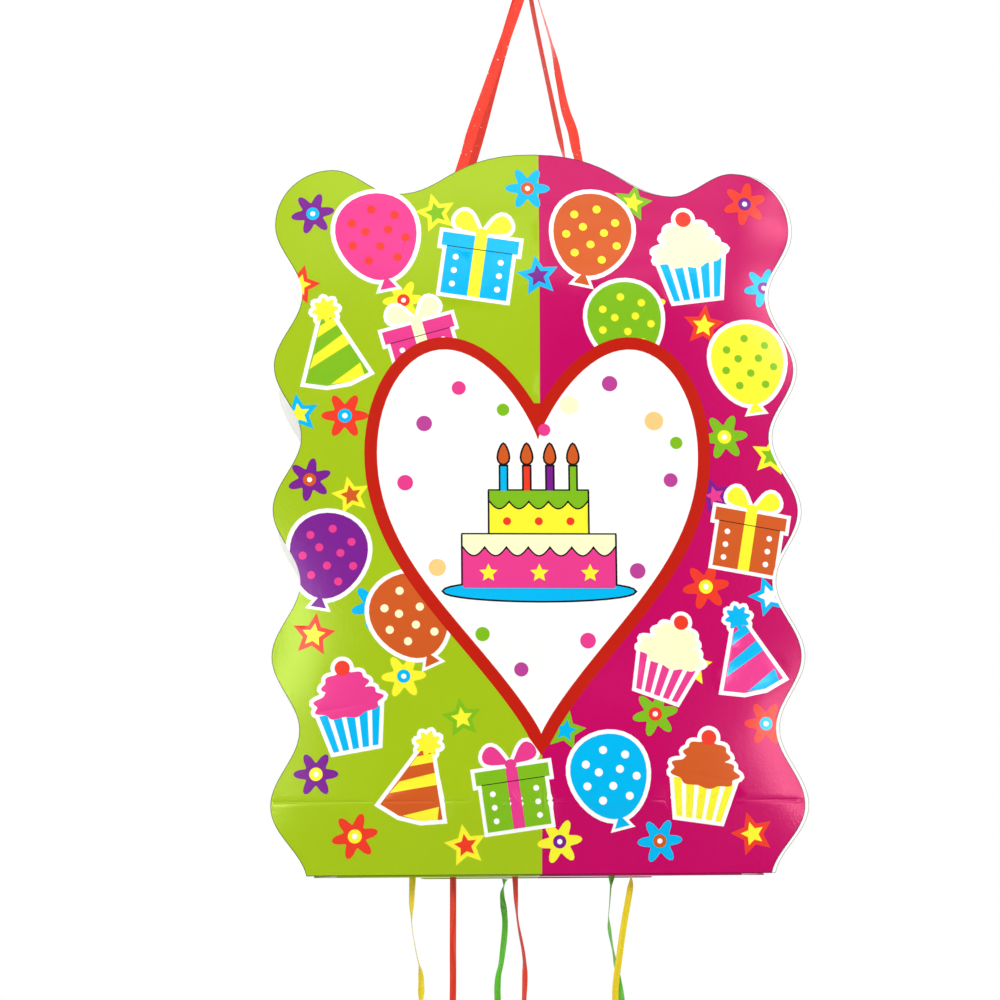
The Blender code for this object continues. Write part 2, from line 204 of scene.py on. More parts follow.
# The studio's dark card behind the camera, which keeps the gloss of the faces clear below its top edge
def addFlag(settings):
    x, y = faceX + settings["flagMiddle"], settings["eye"][1] - faceY - settings["flagBehind"]
    half, top = settings["flagHalf"], faceZ + settings["flagTop"]
    foot = top - settings["flagTall"]
    corners = [(x - half, y, foot), (x + half, y, foot), (x + half, y, top), (x - half, y, top)]
    mesh = bpy.data.meshes.new("flag")
    mesh.from_pydata(corners, [], [(0, 1, 2, 3)])
    flag = addObject("flag", mesh)
    mesh.materials.append(newMaterial("darkFlag", Base_Color=settings["flagColor"], Roughness=1)[0])
    flag.visible_camera = flag.visible_diffuse = flag.visible_transmission = flag.visible_shadow = False


addCamera(stageSettings)
addWorld(stageSettings["worldLight"])
addFloor(stageSettings, cadLow.z)
addFlag(stageSettings)
middle = (faceX, 0, faceZ + faceTall / 2)
for name, place, size, power, tint, limit in lamps:
    addLamp(name, place, middle, size, power, tint, limit)
bpy.context.scene.view_settings.view_transform = "Standard"
print("stage: camera,", len(lamps), "lamps, the floor and the flag")


# A shader group with named sockets: each input has a kind and a value, and all outputs are numbers
def newGroup(name, inputs, outputs):
    group = bpy.data.node_groups.new(name, "ShaderNodeTree")
    for label, kind, value in inputs:
        socket = group.interface.new_socket(name=label, in_out="INPUT", socket_type=kind)
        if value is not None:
            socket.default_value = value
    for label in outputs:
        group.interface.new_socket(name=label, in_out="OUTPUT", socket_type="NodeSocketFloat")
    return group, group.nodes.new("NodeGroupInput").outputs, group.nodes.new("NodeGroupOutput")


def putOut(group, out, **results):
    for label, source in results.items():
        group.links.new(source, out.inputs[label])
    return group


def placeGroup(tree, group, sockets):
    return addNode(tree, "ShaderNodeGroup", sockets, node_tree=group).outputs


# Short forms of the nodes that groups and finishes share: noise, a stretch, and two colours mixed
def noise(tree, vector, scale, detail):
    sockets = {"Vector": vector, "Scale": scale, "Detail": detail}
    return addNode(tree, "ShaderNodeTexNoise", sockets).outputs[0]


def stretched(tree, vector, scale):
    return addNode(tree, "ShaderNodeMapping", {"Vector": vector, "Scale": scale}).outputs[0]


def mixed(tree, share, first, second, blend="MIX"):
    sockets = {"Factor": share, "A": first, "B": second}
    return addNode(tree, "ShaderNodeMix", sockets, data_type="RGBA", blend_type=blend).outputs["Result"]


# Card fibre: noise stretched two ways for the surface height, and a faint mottle for the tone
def makeFibreGroup():
    group, given, out = newGroup(
        "cardFibre",
        [("Vector", "NodeSocketVector", None), ("Fineness", "NodeSocketFloat", 1.0)],
        ["Height", "Tone"],
    )
    scaled = addNode(
        group, "ShaderNodeVectorMath", {0: given["Vector"], "Scale": given["Fineness"]}, operation="SCALE"
    ).outputs[0]
    along = noise(group, stretched(group, scaled, (1.0, 1.0, 0.22)), 2600, 3)
    across = noise(group, stretched(group, scaled, (0.25, 1.0, 1.0)), 1900, 2)
    height = calculate(group, "ADD", along, across)
    return putOut(group, out, Height=height, Tone=noise(group, scaled, 55, 4))


# A pressed crease: 1 on the line where one coordinate is nought, easing to 0 at the given width
def makeCreaseGroup():
    group, given, out = newGroup(
        "pressedCrease",
        [("Coordinate", "NodeSocketFloat", 0.0), ("Width", "NodeSocketFloat", 0.001)],
        ["Mask"],
    )
    away = calculate(group, "ABSOLUTE", given["Coordinate"])
    near = addNode(
        group, "ShaderNodeMapRange",
        {"Value": away, "From Min": 0.0, "From Max": given["Width"], "To Min": 1.0, "To Max": 0.0},
        interpolation_type="SMOOTHSTEP",
    )
    return putOut(group, out, Mask=near.outputs[0])


# Ribbon surface on a strip's own map, x across from 0 to 1 and y along in metres: fine ribs along it,
# as the cosine of turns across, soft crumples across it, and a scatter of pale specks that are painted
# glints, in place of the light the embossing catches
def makeRibbonGroup():
    group, given, out = newGroup(
        "ribbonSurface",
        [
            ("Vector", "NodeSocketVector", None),
            ("Ribs", "NodeSocketFloat", 9.0),
            ("Specks", "NodeSocketFloat", 0.0),
        ],
        ["Height", "Tone", "Speck"],
    )
    across = addNode(group, "ShaderNodeSeparateXYZ", {0: given["Vector"]}).outputs["X"]
    turns = calculate(group, "MULTIPLY", across, given["Ribs"])
    ribs = calculate(group, "COSINE", calculate(group, "MULTIPLY", turns, 2 * pi))
    flat = stretched(group, given["Vector"], (0.006, 1.0, 1.0))
    height = calculate(group, "ADD", calculate(group, "MULTIPLY", ribs, 0.12), noise(group, flat, 260, 3))
    cells = addNode(group, "ShaderNodeTexVoronoi", {"Vector": flat, "Scale": 420}).outputs
    spot = addNode(
        group, "ShaderNodeMapRange",
        {"Value": cells["Distance"], "From Min": 0.10, "From Max": 0.22, "To Min": 1.0, "To Max": 0.0},
    ).outputs[0]
    chance = addNode(group, "ShaderNodeSeparateColor", {0: cells["Color"]}).outputs[0]
    rare = calculate(group, "LESS_THAN", chance, given["Specks"])
    glintSpeck = calculate(group, "MULTIPLY", spot, rare)
    return putOut(group, out, Height=height, Tone=noise(group, flat, 45, 2), Speck=glintSpeck)


fibreGroup = makeFibreGroup()
creaseGroup = makeCreaseGroup()
ribbonGroup = makeRibbonGroup()

# The inks of the print and the tones of the card, as sRGB 0 to 255. The three edge shades are painted
# shade along the die-cut edges of the prints and boards.
inks = {
    "lime": (161, 191, 24), "limeEdgeShade": (92, 106, 26), "magenta": (193, 5, 96), "magentaEdgeShade": (110, 14, 58),
    "white": (250, 250, 247), "boardEdgeShade": (176, 174, 168), "card": (243, 240, 233),
    "border": (190, 30, 15), "cyan": (0, 182, 238), "orange": (205, 90, 35), "yellow": (246, 240, 52),
    "leaf": (125, 185, 30), "rose": (230, 60, 140), "scarlet": (235, 60, 40), "purple": (120, 30, 140),
    "violet": (185, 65, 150), "peach": (245, 205, 130), "cream": (248, 248, 200), "black": (24, 18, 22),
}


# A colour with full alpha, as sockets take it
def opaque(color):
    return (*linear(color), 1)


# A colour times a tone that runs from low to high with the mask
def toned(tree, color, mask, low, high):
    level = addNode(tree, "ShaderNodeMapRange", {"Value": mask, "To Min": low, "To Max": high}).outputs[0]
    gray = addNode(tree, "ShaderNodeCombineColor", {0: level, 1: level, 2: level}).outputs[0]
    return mixed(tree, 1.0, color, gray, "MULTIPLY")


# A normal tilted by a height map, over the normal of a coarser one where that is given
def bump(tree, height, distance, strength, normal=None):
    sockets = {"Height": height, "Distance": distance, "Strength": strength}
    if normal:
        sockets["Normal"] = normal
    return addNode(tree, "ShaderNodeBump", sockets).outputs[0]


def objectPlace(tree):
    return addNode(tree, "ShaderNodeTexCoord").outputs["Object"]


def sheetInk(tree):
    return addNode(tree, "ShaderNodeVertexColor", layer_name="ink").outputs["Color"]


# How fine the card's fibre is, the tones its mottle runs between, and its relief's height and strength
fibreSettings = {
    "print": {"fineness": 0.5, "tones": (0.97, 1.03), "height": 0.00002, "strength": 0.15},
    "board": {"fineness": 0.8, "tones": (0.97, 1.02), "height": 0.00004, "strength": 0.5},
    "inner": {"fineness": 1.0, "tones": (0.95, 1.05), "height": 0.00006, "strength": 0.6},
    "underside": {"fineness": 1.0, "tones": (0.96, 1.03), "height": 0.00004, "strength": 0.4},
}


# Lay card fibre over a colour, and over the normal of what lies under it
def addFibre(tree, shader, place, color, settings, under=None):
    fibre = placeGroup(tree, fibreGroup, {"Vector": place, "Fineness": settings["fineness"]})
    base = toned(tree, color, fibre["Tone"], *settings["tones"])
    normal = bump(tree, fibre["Height"], settings["height"], settings["strength"], under)
    tree.links.new(base, shader.inputs["Base Color"])
    tree.links.new(normal, shader.inputs["Normal"])


printFinish = {
    "roughness": 0.21,
    "gloss": 0.70,
    "glossInk": 0.78,            # how far the gloss takes on the ink's own colour
    "waves": [(14, 0.0010, 0.6), (620, 0.00008, 0.8)],   # noise scale, height and strength
}


# Laminated print: the ink attribute under a clear gloss, over card that is not quite flat
def printMaterial(settings, fibre):
    made, tree, shader = newMaterial(
        "laminatedPrint", Roughness=settings["roughness"], Specular_IOR_Level=settings["gloss"]
    )
    place, ink = objectPlace(tree), sheetInk(tree)
    tint = mixed(tree, settings["glossInk"], (1, 1, 1, 1), ink)
    tree.links.new(tint, shader.inputs["Specular Tint"])
    normal = None
    for scale, height, strength in settings["waves"]:
        normal = bump(tree, noise(tree, place, scale, 2), height, strength, normal)
    addFibre(tree, shader, place, ink, fibre, normal)
    return made


# The board's coated side: its ink attribute, satin, with a faint mottle
def boardMaterial(fibre):
    made, tree, shader = newMaterial("whiteBoard", Roughness=0.55, Specular_IOR_Level=0.4)
    addFibre(tree, shader, objectPlace(tree), sheetInk(tree), fibre)
    return made


cardSettings = {
    "creaseWidth": 0.0008,
    "creaseFrom": 0.130,         # only the walls lie so far out
    # how far painted shade darkens the card along the walls' crease
    "creaseShade": 0.90,
    "creaseDepth": 0.0004,
}


# Uncoated white card: matt, with fibre, greyer in the mottle, and creased down the middle of the walls,
# where painted shade darkens the crease
def cardMaterial(settings, fibre):
    made, tree, shader = newMaterial("innerCard", Roughness=0.72, Specular_IOR_Level=0.35)
    place = objectPlace(tree)
    parts = addNode(tree, "ShaderNodeSeparateXYZ", {0: place}).outputs
    crease = placeGroup(tree, creaseGroup, {"Coordinate": parts["Y"], "Width": settings["creaseWidth"]})
    away = calculate(tree, "ABSOLUTE", parts["X"])
    wall = calculate(tree, "GREATER_THAN", away, settings["creaseFrom"])
    pressed = calculate(tree, "MULTIPLY", crease["Mask"], wall)
    raised = calculate(tree, "SUBTRACT", 1.0, pressed)
    # Painted shade: the card's colour is darkened inside the crease
    color = toned(tree, opaque(inks["card"]), pressed, 1.0, settings["creaseShade"])
    creased = bump(tree, raised, settings["creaseDepth"], 0.8)
    addFibre(tree, shader, place, color, fibre, creased)
    return made


# The printed underside: two inks that meet on the faces' middle line, wherever the card lies at the
# foot and doesn't face up, and plain card on its inner side and where it stands higher
def undersideMaterial(fibre):
    made, tree, shader = newMaterial(
        "printedUnderside", Roughness=0.36, Coat_Weight=0.25, Coat_Roughness=0.18
    )
    place = objectPlace(tree)
    parts = addNode(tree, "ShaderNodeSeparateXYZ", {0: place}).outputs
    right = calculate(tree, "GREATER_THAN", parts["X"], faceX)
    printed = mixed(tree, right, opaque(inks["lime"]), opaque(inks["magenta"]))
    normal = addNode(tree, "ShaderNodeNewGeometry").outputs["True Normal"]
    facing = addNode(tree, "ShaderNodeSeparateXYZ", {0: normal}).outputs["Z"]
    outside = calculate(tree, "LESS_THAN", facing, 0.3)
    low = calculate(tree, "LESS_THAN", parts["Z"], faceZ + 0.0003)
    both = calculate(tree, "MULTIPLY", outside, low)
    color = mixed(tree, both, opaque(inks["card"]), printed)
    addFibre(tree, shader, place, color, fibre)
    return made


# Colour, roughness, ribs across, share of painted glint specks, and height of the crumples
ribbonFinishes = {
    "orange": {"color": (232, 48, 20), "roughness": 0.38, "ribs": 14, "specks": 0.22, "crumple": 0.00055},
    "red": {"color": (208, 46, 12), "roughness": 0.30, "ribs": 7, "specks": 0.0, "crumple": 0.00010},
    "yellow": {"color": (218, 195, 4), "roughness": 0.30, "ribs": 7, "specks": 0.0, "crumple": 0.00010},
    "green": {"color": (80, 174, 18), "roughness": 0.30, "ribs": 7, "specks": 0.0, "crumple": 0.00010},
}
# The pale colour of the specks is a painted glint
glintSpeckColor = (1.0, 0.72, 0.66, 1)


# Shiny plastic ribbon on the strip's own map, with pale specks painted in as glints
def ribbonMaterial(name, color, roughness, ribs, specks, crumple):
    made, tree, shader = newMaterial(name, Roughness=roughness, Specular_IOR_Level=0.36)
    strip = addNode(tree, "ShaderNodeUVMap", uv_map="strip").outputs["UV"]
    surface = placeGroup(tree, ribbonGroup, {"Vector": strip, "Ribs": ribs, "Specks": specks})
    base = toned(tree, opaque(color), surface["Tone"], 0.86, 1.12)
    glintSpeckled = mixed(tree, surface["Speck"], base, glintSpeckColor)
    tree.links.new(glintSpeckled, shader.inputs["Base Color"])
    tree.links.new(bump(tree, surface["Height"], crumple, 0.8), shader.inputs["Normal"])
    return made


finishes = {
    "print": printMaterial(printFinish, fibreSettings["print"]),
    "board": boardMaterial(fibreSettings["board"]),
    "inner": cardMaterial(cardSettings, fibreSettings["inner"]),
    "underside": undersideMaterial(fibreSettings["underside"]),
}
for color, settings in ribbonFinishes.items():
    finishes[color] = ribbonMaterial(color + "Ribbon", **settings)
print("materials:", len(finishes), "finishes from", len(bpy.data.node_groups), "shader groups")


# A finished piece: it rides on its body and stands in for its node
def addPiece(name, mesh, finish, body, node):
    piece = addObject(name, mesh)
    mesh.materials.append(finishes[finish])
    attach(piece, body)
    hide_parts(node)
    return piece


# Quads over rows x columns of points. Columns run round a closed profile; rows either close too or
# end in a cap. The map gets x across from 0 to 1 and y the distance along the rows.
def tubeMesh(name, points, closedRows=False):
    rows, columns = points.shape[:2]
    index = np.arange(rows * columns).reshape(rows, columns)
    index = np.hstack([index, index[:, :1]])
    if closedRows:
        index = np.vstack([index, index[:1]])
    quads = np.stack([index[:-1, :-1], index[1:, :-1], index[1:, 1:], index[:-1, 1:]], -1).reshape(-1, 4)
    faces = quads.tolist()
    if not closedRows:
        faces += [index[0, :-1].tolist(), index[-1, :-1][::-1].tolist()]
    mesh = bpy.data.meshes.new(name)
    mesh.from_pydata(points.reshape(-1, 3).tolist(), [], faces)
    middles = points.mean(1)
    along = np.r_[0, np.cumsum(np.linalg.norm(np.diff(middles, axis=0), axis=1))]
    acrossShare = np.abs(np.linspace(-1, 1, columns, endpoint=False))
    stripMap = np.stack(np.broadcast_arrays(acrossShare[None, :], along[:, None]), -1).reshape(-1, 2)
    corners = np.zeros(len(mesh.loops), np.int32)
    mesh.loops.foreach_get("vertex_index", corners)
    layer = mesh.uv_layers.new(name="strip")
    layer.data.foreach_set("uv", stripMap[corners].astype(np.float32).ravel())
    bm = bmesh.new()
    bm.from_mesh(mesh)
    bmesh.ops.recalc_face_normals(bm, faces=bm.faces)
    bm.to_mesh(mesh)
    bm.free()
    mesh.shade_smooth()
    mesh.set_sharp_from_angle(angle=radians(50))
    return mesh


# Points along a smooth curve through the given ones: on each stretch the Catmull-Rom cubic of the
# four points round it, for whole arrays of stretches and steps at once
def smoothRoute(route, steps=24):
    given = np.asarray(route, float)
    padded = np.vstack([2 * given[0] - given[1], given, 2 * given[-1] - given[-2]])
    a, b, c, d = padded[:-3, None], padded[1:-2, None], padded[2:-1, None], padded[3:, None]
    t = (np.arange(steps) / steps)[None, :, None]
    cubic = 2 * b + (c - a) * t + (2 * a - 5 * b + 4 * c - d) * t**2 + (3 * b - a - 3 * c + d) * t**3
    return np.vstack([cubic.reshape(-1, 3) / 2, given[-1]])


# Points at even spacing along a line of points
def evenly(line, spacing):
    lengths = np.r_[0, np.cumsum(np.linalg.norm(np.diff(line, axis=0), axis=1))]
    count = max(2, round(lengths[-1] / spacing) + 1)
    at = np.linspace(0, lengths[-1], count)
    return np.stack([np.interp(at, lengths, line[:, k]) for k in range(3)], -1), at


# A ribbon: a thin cupped profile carried along a line. With s from -1 to 1 across, the profile stands
# out by cup x width x (1 - s^2), and its thickness goes with sqrt(1.04 - s^2). It lies in the given
# direction and is turned about the line by an angle read from the pairs (distance along, degrees).
def ribbonPoints(line, at, width, turns, across=(1, 0, 0), cup=0.06, columns=7):
    tangent = np.gradient(line, axis=0)
    tangent /= np.linalg.norm(tangent, axis=1, keepdims=True)
    side = np.asarray(across, float) - tangent * (tangent @ np.asarray(across, float))[:, None]
    side /= np.linalg.norm(side, axis=1, keepdims=True)
    face = np.cross(tangent, side)
    places, degrees = np.asarray(turns, float).T
    angle = np.radians(np.interp(at, places, degrees))[:, None]
    laid = side * np.cos(angle) + face * np.sin(angle)
    proud = face * np.cos(angle) - side * np.sin(angle)
    share = np.linspace(-1, 1, columns)
    dish = cup * width * (1 - share**2)
    taper = ribbonThick / 2 * np.sqrt(1.04 - share**2)
    x = np.r_[share, share[::-1]] * width / 2
    y = np.r_[dish + taper, (dish - taper)[::-1]]
    return line[:, None] + laid[:, None] * x[None, :, None] + proud[:, None] * y[None, :, None]


# Smooth the pairs (distance, degrees) into a curve with no corners: a cosine ease between them
def easedTurns(turns, samples=12):
    places, degrees = np.asarray(turns, float).T
    t = np.arange(samples) / samples
    ease = (1 - np.cos(pi * t)) / 2
    at = (places[:-1, None] + np.diff(places)[:, None] * t).ravel()
    turn = (degrees[:-1, None] + np.diff(degrees)[:, None] * ease).ravel()
    return np.stack([np.r_[at, places[-1]], np.r_[turn, degrees[-1]]], -1)


# Even steps once round, as angles
def around(count):
    return np.linspace(0, 2 * pi, count, endpoint=False)


# An overhand knot: the closed line (sin t + 2 sin 2t, cos t - 2 cos 2t, -sin 3t) scaled to a size,
# with an oval carried along it that is thin outwards and wide beside the line, as shares of the cord
def knotPoints(centre, size, cord, thin=0.32, wide=0.62, rows=72, columns=10):
    t = around(rows)
    line = np.stack([np.sin(t) + 2 * np.sin(2 * t), np.cos(t) - 2 * np.cos(2 * t), -np.sin(3 * t)], -1)
    reach = (np.asarray(size, float) - cord / 2) / np.array([3.0, 3.0, 1.0])
    line = line * reach
    tangent = np.roll(line, -1, 0) - np.roll(line, 1, 0)
    tangent /= np.linalg.norm(tangent, axis=1, keepdims=True)
    outward = line / np.linalg.norm(line, axis=1, keepdims=True)
    outward -= tangent * np.sum(outward * tangent, axis=1, keepdims=True)
    outward /= np.linalg.norm(outward, axis=1, keepdims=True)
    beside = np.cross(tangent, outward)
    angle = around(columns)
    ring = outward[:, None] * (cord * thin * np.cos(angle))[None, :, None]
    ring = ring + beside[:, None] * (cord * wide * np.sin(angle))[None, :, None]
    return np.asarray(centre, float) + line[:, None] + ring


# A knot that fills its node's box
def addKnot(name, node, finish, body, cord):
    low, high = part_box(node)
    points = knotPoints((low + high) / 2, (high - low) / 2, cord)
    return addPiece(name, tubeMesh(name, points, closedRows=True), finish, body, node)


# One wavy outline, cut for two prints and two boards
faceShape = {
    "trough": 0.1484,            # half width at the troughs of the sides
    "foot": 0.1435,
    "footWay": (-0.22, -1),
    "lobes": 5,
    "pitch": 0.0922,
    "lowestLobe": 0.0427,
    "corner": 0.0368,            # radius of the rounded top corners
    "topTrough": (0.0894, 0.4324),
    "waveHandle": 0.364,         # Bezier handle that makes half a cosine wave
    "roundHandle": 0.552,
    "crestHandle": 0.620,
    "samples": 14,
    "reveal": 0.0026,            # the boards show past the prints by this much at one side
    "print": 0.0003,             # thicknesses of the print and the board, and the gap between them
    "board": 0.0008,
    "seat": 0.0003,
    "grid": 0.0075,
    "gridStart": (0.003, 0.004),
    "edgeShadeLine": 0.0005,           # a line of painted shade this wide runs round each sheet, in place of the shade on its die-cut edge
}


# Turning points down the right half: place, heading, and handle lengths before and after
def outlineTurns(shape):
    half = (faceHigh.x - faceLow.x) / 2
    side = shape["waveHandle"] * shape["pitch"] / 2
    troughX, troughHeight = shape["topTrough"]
    topLobe = shape["lowestLobe"] + (shape["lobes"] - 1) * shape["pitch"]
    crestOut = shape["crestHandle"] * troughX
    cornerX = half - shape["corner"]
    step = shape["waveHandle"] * (cornerX - troughX)
    rounded = shape["roundHandle"] * shape["corner"]
    turns = [
        ((0, faceTall), (1, 0), crestOut, crestOut),
        ((troughX, troughHeight), (1, 0), shape["waveHandle"] * troughX, step),
        ((cornerX, topLobe + shape["corner"]), (1, 0), step, rounded),
    ]
    before = rounded
    for lobe in reversed(range(shape["lobes"])):
        height = shape["lowestLobe"] + lobe * shape["pitch"]
        turns.append(((half, height), (0, -1), before, side))
        if lobe:
            turns.append(((shape["trough"], height - shape["pitch"] / 2), (0, -1), side, side))
        before = side
    footWay = Vector(shape["footWay"]).normalized()
    turns.append(((shape["foot"], 0), tuple(footWay), shape["waveHandle"] * shape["lowestLobe"], 0))
    return turns


# The closed outline, widened by the reveal on one side. Each stretch between two turning points is a
# cubic Bezier: (1-t)^3 p + 3 t (1-t)^2 q + 3 t^2 (1-t) r + t^3 s.
def outline(shape, reveal=0.0):
    right = outlineTurns(shape)
    left = [((-x, v), (dx, -dv), after, before) for (x, v), (dx, dv), before, after in right[:0:-1]]
    places, ways, before, after = zip(*(right + left))
    p = np.array(places)
    p[:, 0] += np.where(p[:, 0] * reveal > 1e-9, reveal, 0)
    way = np.array(ways)
    q = p + way * np.array(after)[:, None]
    r = np.roll(p - way * np.array(before)[:, None], -1, 0)
    s = np.roll(p, -1, 0)
    t = (np.arange(shape["samples"]) / shape["samples"])[None, :, None]
    curve = (1 - t) ** 3 * p[:, None] + 3 * t * (1 - t) ** 2 * q[:, None]
    curve += 3 * t**2 * (1 - t) * r[:, None] + t**3 * s[:, None]
    return curve.reshape(-1, 2)[::-1]


faceForm = {
    "fold": 0.0450,
    "tuck": 0.0020,              # the faces lean in by this at the foot
    "ridge": 0.0022,             # and stand out by this along the fold,
    "ridgeRun": 0.090,           # less and less over this height above it
    "groove": (0.00036, 0.0007), # depth and half width of the fold's crease
    "grooveRows": (-2, -1.2, -0.5, 0, 0.5, 1.2, 2),   # grid rows across it, in half widths
    "swell": 0.0010,
    # height, spread, most, and the side it favours: -1 left, 1 right
    "swells": [(0.375, 0.060, 0.0042, 1), (0.090, 0.042, 0.0037, 1), (0.150, 0.055, 0.0034, -1)],
    "favour": 0.06,              # a swell passes to its side between this far left and right
    "wall": 0.142,
    "cornerFrom": 0.120,
    "cornerRun": 0.034,
    "cornerPower": 1.6,
    "crestFrom": 0.4236,
    "crestRun": 0.05,
    "crestFall": 0.0012,
    "ripple": 0.00022,
}


# 0 below low, 1 above high, and an S curve between: 3 x^2 - 2 x^3
def smoothStep(low, high, value):
    x = np.clip((value - low) / (high - low), 0, 1)
    return x * x * (3 - 2 * x)


# How far a face stands out of its plane, at u across and v up. The swell s is an even one, the ridge
# along the fold, and most x exp(-((v - height) / spread)^2) at each of three heights, on one side more
# than the other. It goes with held x s x (1 - (u / wall)^4), where held eases to nothing at the foot and
# the crest, so past the walls the lobes curl back. The top corners curl further, by
# s x ((u - from) / run)^power. The crest falls back, and a ripple and the crease's groove come on top.
def faceLift(u, v, form):
    favour = form["favour"]
    swell = form["swell"] + sum(
        most * np.exp(-(((v - height) / spread) ** 2)) * smoothStep(-favour, favour, way * u)
        for height, spread, most, way in form["swells"]
    )
    swell += form["ridge"] * (1 - smoothStep(form["fold"], form["fold"] + form["ridgeRun"], v))
    held = np.clip(v / form["fold"], 0, 1) * smoothStep(0, form["crestRun"], form["crestFrom"] - v)
    lift = held * swell * (1 - (np.abs(u) / form["wall"]) ** 4)
    past = np.clip((np.abs(u) - form["cornerFrom"]) / form["cornerRun"], 0, None) ** form["cornerPower"]
    lift -= swell * past * smoothStep(form["crestFrom"] - form["crestRun"], form["crestFrom"], v)
    lift -= form["crestFall"] * smoothStep(form["crestFrom"], faceTall, v)
    lift += form["ripple"] * held * (np.sin(41 * v + 9 * u) * np.cos(23 * u - 11 * v) + 1) / 2
    depth, half = form["groove"]
    return lift - depth * np.exp(-(((v - form["fold"]) / half) ** 2))


# From a face's own (u, v) to the object: the front looks towards -Y, and the back is the same turned
# half round. Below the fold the face leans in, by more in step with how far below it lies.
def faceSurface(u, v, depth, turned, form):
    out = faceY - depth + faceLift(u, v, form)
    below = np.clip(form["fold"] - v, 0, None) / form["fold"]
    out = out * (1 - form["tuck"] / faceY * below)
    way = -1 if turned else 1
    return np.stack([faceX + way * u, -way * out, faceZ + v], -1)


# The area in a closed line, half the sum of x1 y2 - x2 y1, which is negative where it runs clockwise
def areaOf(line):
    ahead = np.roll(line, -1, 0)
    return float((line[:, 0] * ahead[:, 1] - ahead[:, 0] * line[:, 1]).sum() / 2)


# A sheet's flat triangles: the layers' lines and a grid go through a Delaunay triangulation, and each
# triangle takes the ink of the last layer laid over it
def paintedTriangles(layers, shape, form):
    lines = [line if areaOf(line) > 0 else line[::-1] for _, line in layers]
    starts = np.cumsum([0] + [len(line) for line in lines])
    loops = [list(range(first, last)) for first, last in zip(starts, starts[1:])]
    low, high = lines[0].min(0), lines[0].max(0)
    startX, startHeight = low + shape["gridStart"]
    columns = np.arange(startX, high[0], shape["grid"])
    creaseRows = form["fold"] + form["groove"][1] * np.array(form["grooveRows"])
    rows = np.r_[np.arange(startHeight, high[1], shape["grid"]), creaseRows]
    grid = np.stack(np.meshgrid(columns, rows), -1).reshape(-1, 2)
    points = np.vstack(lines + [grid])
    insideOnly, tolerance = 1, 1e-7
    places, _, faces, _, _, layersOf = delaunay_2d_cdt(
        points.tolist(), [], loops, insideOnly, tolerance, True
    )
    flat = np.array([tuple(place) for place in places])
    chosen = [(face, max(layered)) for face, layered in zip(faces, layersOf) if 0 in layered]
    triangles = np.array([face for face, _ in chosen])
    colors = np.array([linear(inks[layers[top][0]]) for _, top in chosen])
    return flat, triangles, colors


# Close a sheet: its front, its back at the sheet's thickness, and a rim along the edges that only one
# triangle uses
def sheetMesh(name, layers, depth, thick, turned, shape, form, backInk, rimInk):
    flat, triangles, colors = paintedTriangles(layers, shape, form)
    count = len(flat)
    front = faceSurface(flat[:, 0], flat[:, 1], depth, turned, form)
    back = faceSurface(flat[:, 0], flat[:, 1], depth + thick, turned, form)
    edges = np.stack([triangles, np.roll(triangles, -1, 1)], -1).reshape(-1, 2)
    ahead = edges[:, 0] * count + edges[:, 1]
    behind = edges[:, 1] * count + edges[:, 0]
    rim = edges[~np.isin(ahead, behind)]
    quads = np.stack([rim[:, 0], rim[:, 0] + count, rim[:, 1] + count, rim[:, 1]], -1)
    faces = triangles.tolist() + (triangles[:, ::-1] + count).tolist() + quads.tolist()
    mesh = bpy.data.meshes.new(name)
    mesh.from_pydata(np.vstack([front, back]).tolist(), [], faces)
    inkOf = np.vstack([
        np.repeat(colors, 3, 0),
        np.tile(linear(inks[backInk]), (3 * len(triangles), 1)),
        np.tile(linear(inks[rimInk]), (4 * len(quads), 1)),
    ])
    layer = mesh.color_attributes.new("ink", "FLOAT_COLOR", "CORNER")
    layer.data.foreach_set("color", np.c_[inkOf, np.ones(len(inkOf))].astype(np.float32).ravel())
    mesh.shade_smooth()
    mesh.set_sharp_from_angle(angle=radians(40))
    return mesh


# Which points lie inside a closed line: an odd count of its edges passes to their right
def inside(points, line):
    ahead = np.roll(line, -1, 0)
    x, y = points[:, :1], points[:, 1:]
    straddles = (line[:, 1] > y) != (ahead[:, 1] > y)
    rise = ahead[:, 1] - line[:, 1]
    crossing = line[:, 0] + (y - line[:, 1]) * (ahead[:, 0] - line[:, 0]) / np.where(rise == 0, 1, rise)
    return (straddles & (x < crossing)).sum(1) % 2 == 1


# A closed line moved outwards by a distance, or inwards by a negative one, along the mean normal, with
# mitred corners, less the points that end up nearer to another part of the line, or across it. The
# mitre is held at the cosine of the sharpest corner.
def grow(line, by, sharpest=0.6, slack=1.015):
    line = line if areaOf(line) > 0 else line[::-1]
    ahead = np.roll(line, -1, 0) - line
    ahead /= np.linalg.norm(ahead, axis=1, keepdims=True)
    normal = np.stack([ahead[:, 1], -ahead[:, 0]], -1)
    mean = normal + np.roll(normal, 1, 0)
    mean /= np.linalg.norm(mean, axis=1, keepdims=True)
    mitre = np.clip(np.sum(mean * normal, axis=1, keepdims=True), sharpest, 1)
    moved = line + mean * by / mitre
    nearest = np.linalg.norm(moved[:, None] - line[None], axis=2).min(1)
    kept = np.linalg.norm(moved - line, axis=1) < slack * nearest
    return moved[kept & (inside(moved, line) != (by > 0))]


# An ellipse: x + a cos t, y + b sin t
def oval(x, y, a, b=None, count=20):
    t = around(count)
    return np.stack([x + a * np.cos(t), y + (b or a) * np.sin(t)], -1)


def rectangle(left, low, right, high):
    return np.array([(left, low), (right, low), (right, high), (left, high)], float)


